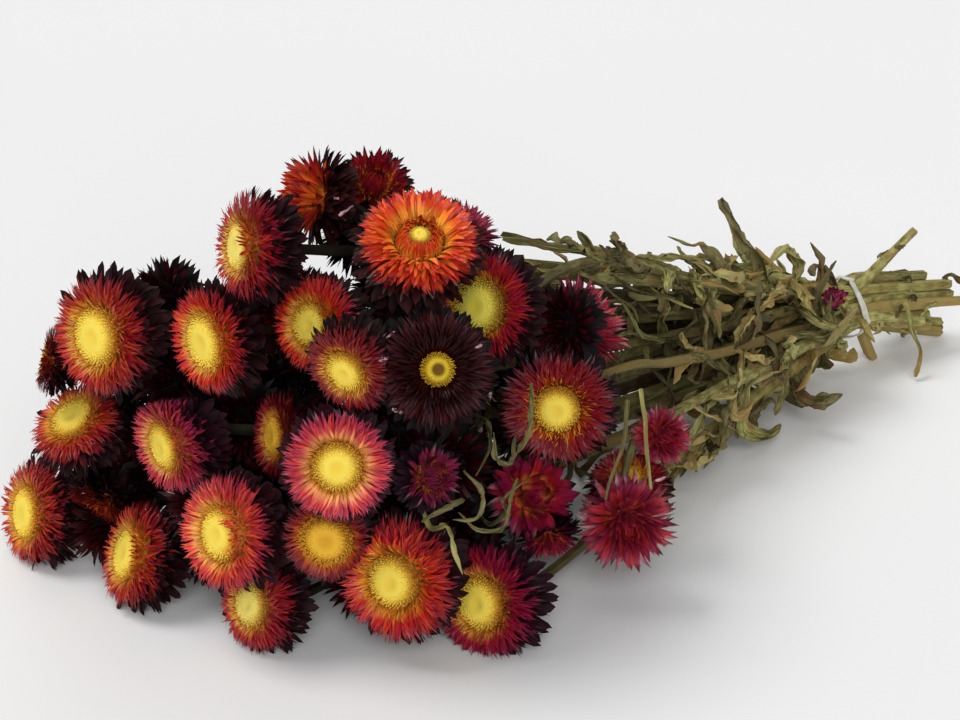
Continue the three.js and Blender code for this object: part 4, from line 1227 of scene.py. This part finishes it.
def massLeaf(roll, k, rule):
    root, along, outward = rootOnStem(roll, stemLines[k % len(stemLines)], rule)
    aside = np.cross(along, outward)
    length, heading = roll.uniform(*rule["length"]), roll.choice((1, 1, -1))
    angle, bend = roll.normal(0, rule["turn"]), roll.normal(0, rule["bend"])
    climb = roll.uniform(*rule["climb"])
    points = [root + outward * bunch["stemRadius"] * rule["rooted"]]
    for _ in range(rule["steps"]):
        angle += bend + roll.normal(0, rule["wind"])
        climb += roll.normal(0, rule["wind"])
        step = (along * heading * math.cos(angle) + aside * math.sin(angle)
                + outward * math.sin(climb))
        point = points[-1] + step * length / rule["steps"] / np.linalg.norm(step)
        rise = (point - root) @ outward
        lowest, highest = rule["lift"]
        points.append(point + outward * (min(max(rise, lowest), highest) - rise))
    width = [np.interp(root[0], rule["widthPlaces"], rule[side]) for side in ("narrow", "wide")]
    return points, roll.uniform(*width)


def massLeaves():
    roll = np.random.default_rng(massBuild["seed"])
    made, scraps = [[massLeaf(roll, k, rule) for k in range(rule["count"])]
                    for rule in (massBuild, tailScraps)]
    band, clear = bunch["bandMiddle"].x, massBuild["offBand"]
    return ([leaf for leaf in made if max(p[0] for p in leaf[0]) < band - clear]
            + [leaf for leaf in scraps if min(p[0] for p in leaf[0]) > band + clear])


# thin bare flower stalks that lie over the side heads
twigs = [
    [(-8, -86, 82), (-11, -92, 74), (-11, -93, 62), (-9, -93, 49)],
    [(-14, -86, 80), (-20, -92, 71), (-27, -94, 62), (-32, -95, 54)],
]
# dried shreds of leaf caught between the heads
shreds = [
    [(-70, -70, 68), (-68, -77, 61), (-72, -78, 55), (-79, -75, 56)],
    [(-94, -78, 62), (-87, -82, 66), (-80, -80, 65), (-75, -76, 62)],
    [(-44, -66, 70), (-53, -74, 66), (-60, -74, 71), (-57, -70, 77)],
    [(-47, -70, 57), (-56, -76, 54), (-60, -77, 47), (-68, -75, 48), (-72, -70, 54)],
    [(-34, -62, 84), (-39, -68, 78), (-44, -70, 70), (-52, -72, 66)],
]
# pale flakes on the heads, partly pale bract tips and partly painted highlights: where, and which
# way they point
tipAndGlintFlakes = [
    ((-77.1, -20.1, 140.5), (4, -2, 3)), ((-75.9, -15.9, 145), (-1, -4, 1)),
    ((-85.3, -56.4, 115.9), (-3, 1, -2)), ((-94.2, -59.3, 109.6), (4, 0, 0)),
    ((-91.2, -56.2, 97.9), (-3, -1, -1)), ((-92, -62.3, 93.9), (2, -3, -1)),
    ((-64.3, -76.5, 95.8), (-2, 0, -3)), ((-15.3, -18.1, 45.8), (-2, -1, -3)),
    ((-69.3, -74.8, 111.6), (3, 0, 0)), ((-0.9, -87.2, 46.9), (3, -2, 1)),
]


def tipAndGlintPart(place, pointing, number):
    start, way = Vector(place), Vector(pointing)
    points = [start, start + way * 0.5, start + way]
    part = leafPart(points, leafBuild["flakeWidth"], number, 1, stations=leafBuild["flakeStations"])
    part["slot"] = 0  # the piece has one material
    return part


bandBuild = {
    "width": 3.2, "thickness": 1.0, "sides": 20, "stations": 150,
    # across and up its section, in shares of half the width and of the thickness
    "section": ((-1, 0.15), (-0.6, 0), (0.6, 0), (1, 0.15),
                (1, 0.75), (0.5, 1), (-0.5, 1), (-1, 0.75)),
    # waves: size, how many round the loop, and where they start
    "edgeWaves": ((0.55, 5, 0), (0.3, 11, 1)),  # mm
    "sizeWaves": {"width": (0.16, 7, 2), "thickness": (0.15, 9, 0)}, "steady": 0.8,
}


def bandOutline(clearance):  # straight facets that just clear the outer stems
    step = 2 * math.pi / bandBuild["sides"]
    turns = np.arange(bandBuild["sides"]) * step
    slots = np.array([b["slot"] for b in mainBlooms])
    supports = (slots @ np.array([np.cos(turns), np.sin(turns)])).max(0)
    supports = supports + bunch["stemRadius"] + clearance
    slide = (np.roll(supports, -1) - supports * math.cos(step)) / math.sin(step)
    return np.stack([supports * np.cos(turns) - slide * np.sin(turns),
                     supports * np.sin(turns) + slide * np.cos(turns)], -1)


def waveRound(turn, size, count, start):
    return size * np.sin(turn * count + start)


def bandPart():  # a flat elastic loop: its edges wave, and it thins and thickens in waves round the loop
    corners = bandOutline(bunch["gap"])
    loop = np.vstack([corners, corners[:1]])
    place = np.linspace(0, len(corners), bandBuild["stations"], endpoint=False)
    line = pointsAt(loop, place)
    outward = line / np.linalg.norm(line, axis=1)[:, None]
    turn = place / len(corners) * 2 * math.pi
    wave = sum(waveRound(turn, *values) for values in bandBuild["edgeWaves"])
    wide, thick = [bandBuild[name] * (bandBuild["steady"] + waveRound(turn, *values))
                   for name, values in bandBuild["sizeWaves"].items()]
    middle = bunch["bandMiddle"]
    rings = []
    for across, lift in bandBuild["section"]:
        y, z = (line + outward * (thick * lift)[:, None]).T
        x = wave + wide / 2 * across
        rings.append(np.column_stack([middle.x + x, middle.y + y, middle.z + z]))
    co = np.stack(rings, 1)
    return newPart(co, ringFaces(*co.shape[:2], True))


def materialsOf(table, ending, looks):  # one material for each row of a table
    return {name: makeMaterial(name + ending, looks, name, values)
            for name, values in table.items()}


paperMaterials = materialsOf(papers, "Bract", paperLooks)
darkMaterials = materialsOf(papers, "DarkBract", darkLooks)
fluffMaterials = materialsOf(fluffs, "Florets", fluffLooks)
scaleMaterials = materialsOf(fluffs, "Scales", scaleLooks)
greenMaterials = materialsOf(greens, "", greenLooks)
elastic = makeMaterial("clearElastic", elasticLooks)
print("materials made:", len(bpy.data.materials))


def finishPiece(piece, slot, *nodes):
    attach(piece, "root")
    if nodes:
        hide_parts(*nodes)


def headMaterials(bloom):
    paper, fluff = bloom["paper"], bloom["fluff"]
    return [paperMaterials[paper], scaleMaterials[fluff], darkMaterials[paper]]


def makeHead(bloom, slot, *nodes):
    number, habit = bloom["number"], bloom["habit"]
    parts = [buttonPart(bloom)]
    parts += [bractPart(bloom, layer, number + 200 * k) for k, layer in enumerate(habits[habit])]
    if habit not in noScales:
        ring = {**scaleRing, "count": scaleCounts.get(habit, scaleRing["count"])}
        parts.append(bractPart(bloom, ring, number + 100))
    head = makePiece(f"head_{number:02d}", parts, headMaterials(bloom))
    finishPiece(head, slot, *nodes)


def makeFlorets(bloom):
    number = bloom["number"]
    parts = [domePart(bloom), floretPart(bloom)]
    florets = makePiece(f"florets_{number:02d}", parts, [fluffMaterials[bloom["fluff"]]])
    if number in ownDiscs:
        node = f"disc_{number:02d}"
        finishPiece(florets, node, node)
    else:
        finishPiece(florets, "disc_01")


crowd = {  # more heads behind the others, near-black as painted shade, where the bunch is too deep to see into
    "count": 40, "apart": 14.5, "radius": 14, "behind": (1.0, 2.3), "aside": 0.6, "first": 61,
    "along": (-118, 20), "across": (-52, 72),  # mm, where in the bunch
    # one line of sight stays open: a point on it, its direction and its width
    "gapPoint": Vector((-81, -14, 125)), "gapDirection": Vector((0.56, 0.73, -0.38)),
    "gapWidth": 18,
    "tucked": [Vector((-127, 53, 17)), Vector((-62, -30, 40))],
    "tuckedFacing": Vector((-0.9, -0.4, 0.1)).normalized(),
}


def crowdPlace(bloom, roll):  # a heart behind a head, or nothing where it would show
    aside = Vector([2 * roll() - 1 for _ in range(3)]) * crowd["aside"]
    behind = bloom["facing"] * between(crowd["behind"], roll())
    heart = bloom["heart"] + (aside - behind) * bloom["radius"]
    heart.z = max(heart.z, crowd["radius"])
    limits = ((heart.x, crowd["along"]), (heart.y, crowd["across"]))
    if not all(low < value < high for value, (low, high) in limits):
        return None
    offSight = (heart - crowd["gapPoint"]).cross(crowd["gapDirection"]).length / crowd["gapWidth"]
    return heart if offSight >= 1 else None


def crowdedHeads():
    roll = dice(29)
    hearts, found = [b["heart"] for b in blooms] + crowd["tucked"], []
    for bloom in blooms * 4:
        heart = crowdPlace(bloom, roll)
        if heart is None or len(found) == crowd["count"]:
            continue
        if min((heart - h).length for h in hearts) > crowd["apart"]:
            hearts.append(heart)
            found.append((heart, bloom["facing"]))
    found += [(heart, crowd["tuckedFacing"]) for heart in crowd["tucked"]]
    habit, paper, fluff = innerShadeLooks
    return [{"number": number, "heart": heart, "radius": crowd["radius"], "facing": facing,
             "habit": habit, "paper": paper, "fluff": fluff}
            for number, (heart, facing) in enumerate(found, crowd["first"])]


def allStems():
    parts = []
    for k, points in enumerate(mainRoutes):
        radii = [min(bunch["neckRadius"] + j * stemBuild["neckGrowth"], bunch["stemRadius"])
                 for j in range(len(points))]
        radii[-1] *= stemBuild["tail"]
        part = stemPart(points, radii, k)
        if mainBlooms[k]["number"] == bunch["longStem"]["bloom"]:
            part["seed"] = np.full_like(part["seed"], stemBuild["longSeed"])
        parts.append(part)
    thin = stemBuild["thinSides"]
    for k, points in enumerate(sideRoutes):
        parts.append(stemPart(points, [bunch["branchRadius"]] * 2, 100 + k, thin))
    for k, points in enumerate(twigs):
        parts.append(stemPart([Vector(p) for p in points], [0.7, 0.45], 150 + k, thin, 0.15))
    parts.append(stemPart(fromNearestStem(stub, mainRoutes), [2, 2], 200))
    parts.append(stemPart(fromNearestStem(budStalk, mainRoutes), [0.9, 0.7], 201, thin))
    return parts


def allLeaves():
    parts = []
    free, placed = leaves[:leafRule["count"]], leaves[leafRule["count"]:]
    for k, (points, width) in enumerate(free):
        if points[0].x > bunch["bandMiddle"].x:
            width *= leafBuild["tailWidth"]
        parts.append(leafPart(shrivelled(points, k), width, k))
    for k, ((points, width), (share, pale, outline)) in enumerate(zip(placed, placedLooks)):
        parts.append(leafPart(points, width * share, 200 + k, pale, outline))
    for k, points in enumerate(shreds):
        parts.append(leafPart([Vector(p) for p in points], leafBuild["shredWidth"], 260 + k, 1))
    return parts


crowded = crowdedHeads()
for bloom in blooms:
    node = f"bloom_{bloom['number']:02d}"
    makeHead(bloom, node, node)
    if bloom["habit"] not in noDiscs:
        makeFlorets(bloom)
for bloom in crowded:
    makeHead(bloom, "bloom_41")
print("heads:", len(blooms), "and", len(crowded), "more deep in the bunch")

budParts = [buttonPart(bud), bractPart(bud, budPaper, bud["number"])]
finishPiece(makePiece("closedBud", budParts, headMaterials(bud)), "bud_by_tie", "bud_by_tie")

stemParts, leafParts, brokenLeaves = allStems(), allLeaves(), massLeaves()
leafMaterials = [greenMaterials["driedLeaf"], greenMaterials["paleLeaf"]]
stemPiece = makePiece("driedStems", stemParts, [greenMaterials["driedStem"]])
finishPiece(stemPiece, "leafy_stems", "leafy_stems")
leafPiece = makePiece("driedLeaves", leafParts, leafMaterials, 80)
finishPiece(leafPiece, "leafy_stems", "leafy_stems")
brokenParts = [leafPart(points, width, 300 + k, stations=leafBuild["brokenStations"])
               for k, (points, width) in enumerate(brokenLeaves)]
finishPiece(makePiece("brokenLeaves", brokenParts, leafMaterials[:1], 80), "leafy_stems")
# pale flakes, partly painted highlights
tipAndGlintParts = [tipAndGlintPart(place, pointing, 600 + k) for k, (place, pointing) in enumerate(tipAndGlintFlakes)]
finishPiece(makePiece("paleTipsAndGlints", tipAndGlintParts, [paperMaterials["faded"]]), "bloom_08")
print("stems:", len(stemParts), "leaves:", len(leaves) + len(brokenLeaves))

bandPiece = makePiece("elasticBand", [bandPart()], [elastic])
finishPiece(bandPiece, "tie_band", "tie_band")

studio = {
    "azimuth": -42, "elevation": 25, "lens": 85, "sensor": 36, "distance": 0.8,
    "target": Vector((0, 0, 60)),  # mm
    "floorRadius": 9.0, "floor": ("#f2f2f2", "#f1f1f1"), "world": "#ffffff", "worldStrength": 0.13,
    "lights": {  # spread in degrees, strength, and where from: right, ahead, up
        "softbox": (30, 1.32, (-0.49, 0.06, 0.87)),
        "topLight": (50, 0.38, (0, 0, 1)),
        "backCard": (40, 0.5, (-0.06, 0.74, 0.67)),
        "frontCard": (40, 1.65, (0.1, -0.85, 0.52)),
    },
}


def floorLooks(tree):  # seamless paper, hardly mottled
    mottle = objectNoise(tree, 3.0, 1.0)
    return {
        "Base Color": colourRamp(tree, mottle, list(zip((0.3, 0.7), studio["floor"]))),
        "Roughness": 0.85, "Specular IOR Level": 0.2}


def makeFloor():
    bpy.ops.mesh.primitive_circle_add(vertices=96, radius=studio["floorRadius"], fill_type="NGON")
    floor = bpy.context.object
    floor.name = "paleFloor"
    floor.data.materials.append(makeMaterial("seamlessPaper", floorLooks))


def pointBack(name, data, towards):  # a light or camera that looks back along a line
    thing = bpy.data.objects.new(name, data)
    thing.rotation_euler = (-towards).to_track_quat("-Z", "Y").to_euler()
    bpy.context.scene.collection.objects.link(thing)
    return thing


def makeCamera():
    a, e = math.radians(studio["azimuth"]), math.radians(studio["elevation"])
    towards = Vector((math.sin(a) * math.cos(e), -math.cos(a) * math.cos(e), math.sin(e)))
    lens = bpy.data.cameras.new("camera")
    lens.lens, lens.sensor_width = studio["lens"], studio["sensor"]
    camera = pointBack("camera", lens, towards)
    camera.location = studio["target"] * mm + shift + towards * studio["distance"]
    bpy.context.scene.camera = camera


def makeLights():
    a = math.radians(studio["azimuth"])
    right, ahead = Vector((math.cos(a), math.sin(a), 0)), Vector((-math.sin(a), math.cos(a), 0))
    for name, (spread, strength, place) in studio["lights"].items():
        light = bpy.data.lights.new(name, "SUN")
        light.angle, light.energy = math.radians(spread), strength
        pointBack(name, light, right * place[0] + ahead * place[1] + Vector((0, 0, place[2])))
    world = bpy.data.worlds.new("studio")
    world.use_nodes = True
    sky = {"Color": hexColour(studio["world"]), "Strength": studio["worldStrength"]}
    setInputs(world.node_tree, world.node_tree.nodes["Background"], sky)
    bpy.context.scene.world = world
    bpy.context.scene.view_settings.view_transform = "Standard"


makeFloor()
makeCamera()
makeLights()
print("studio ready")
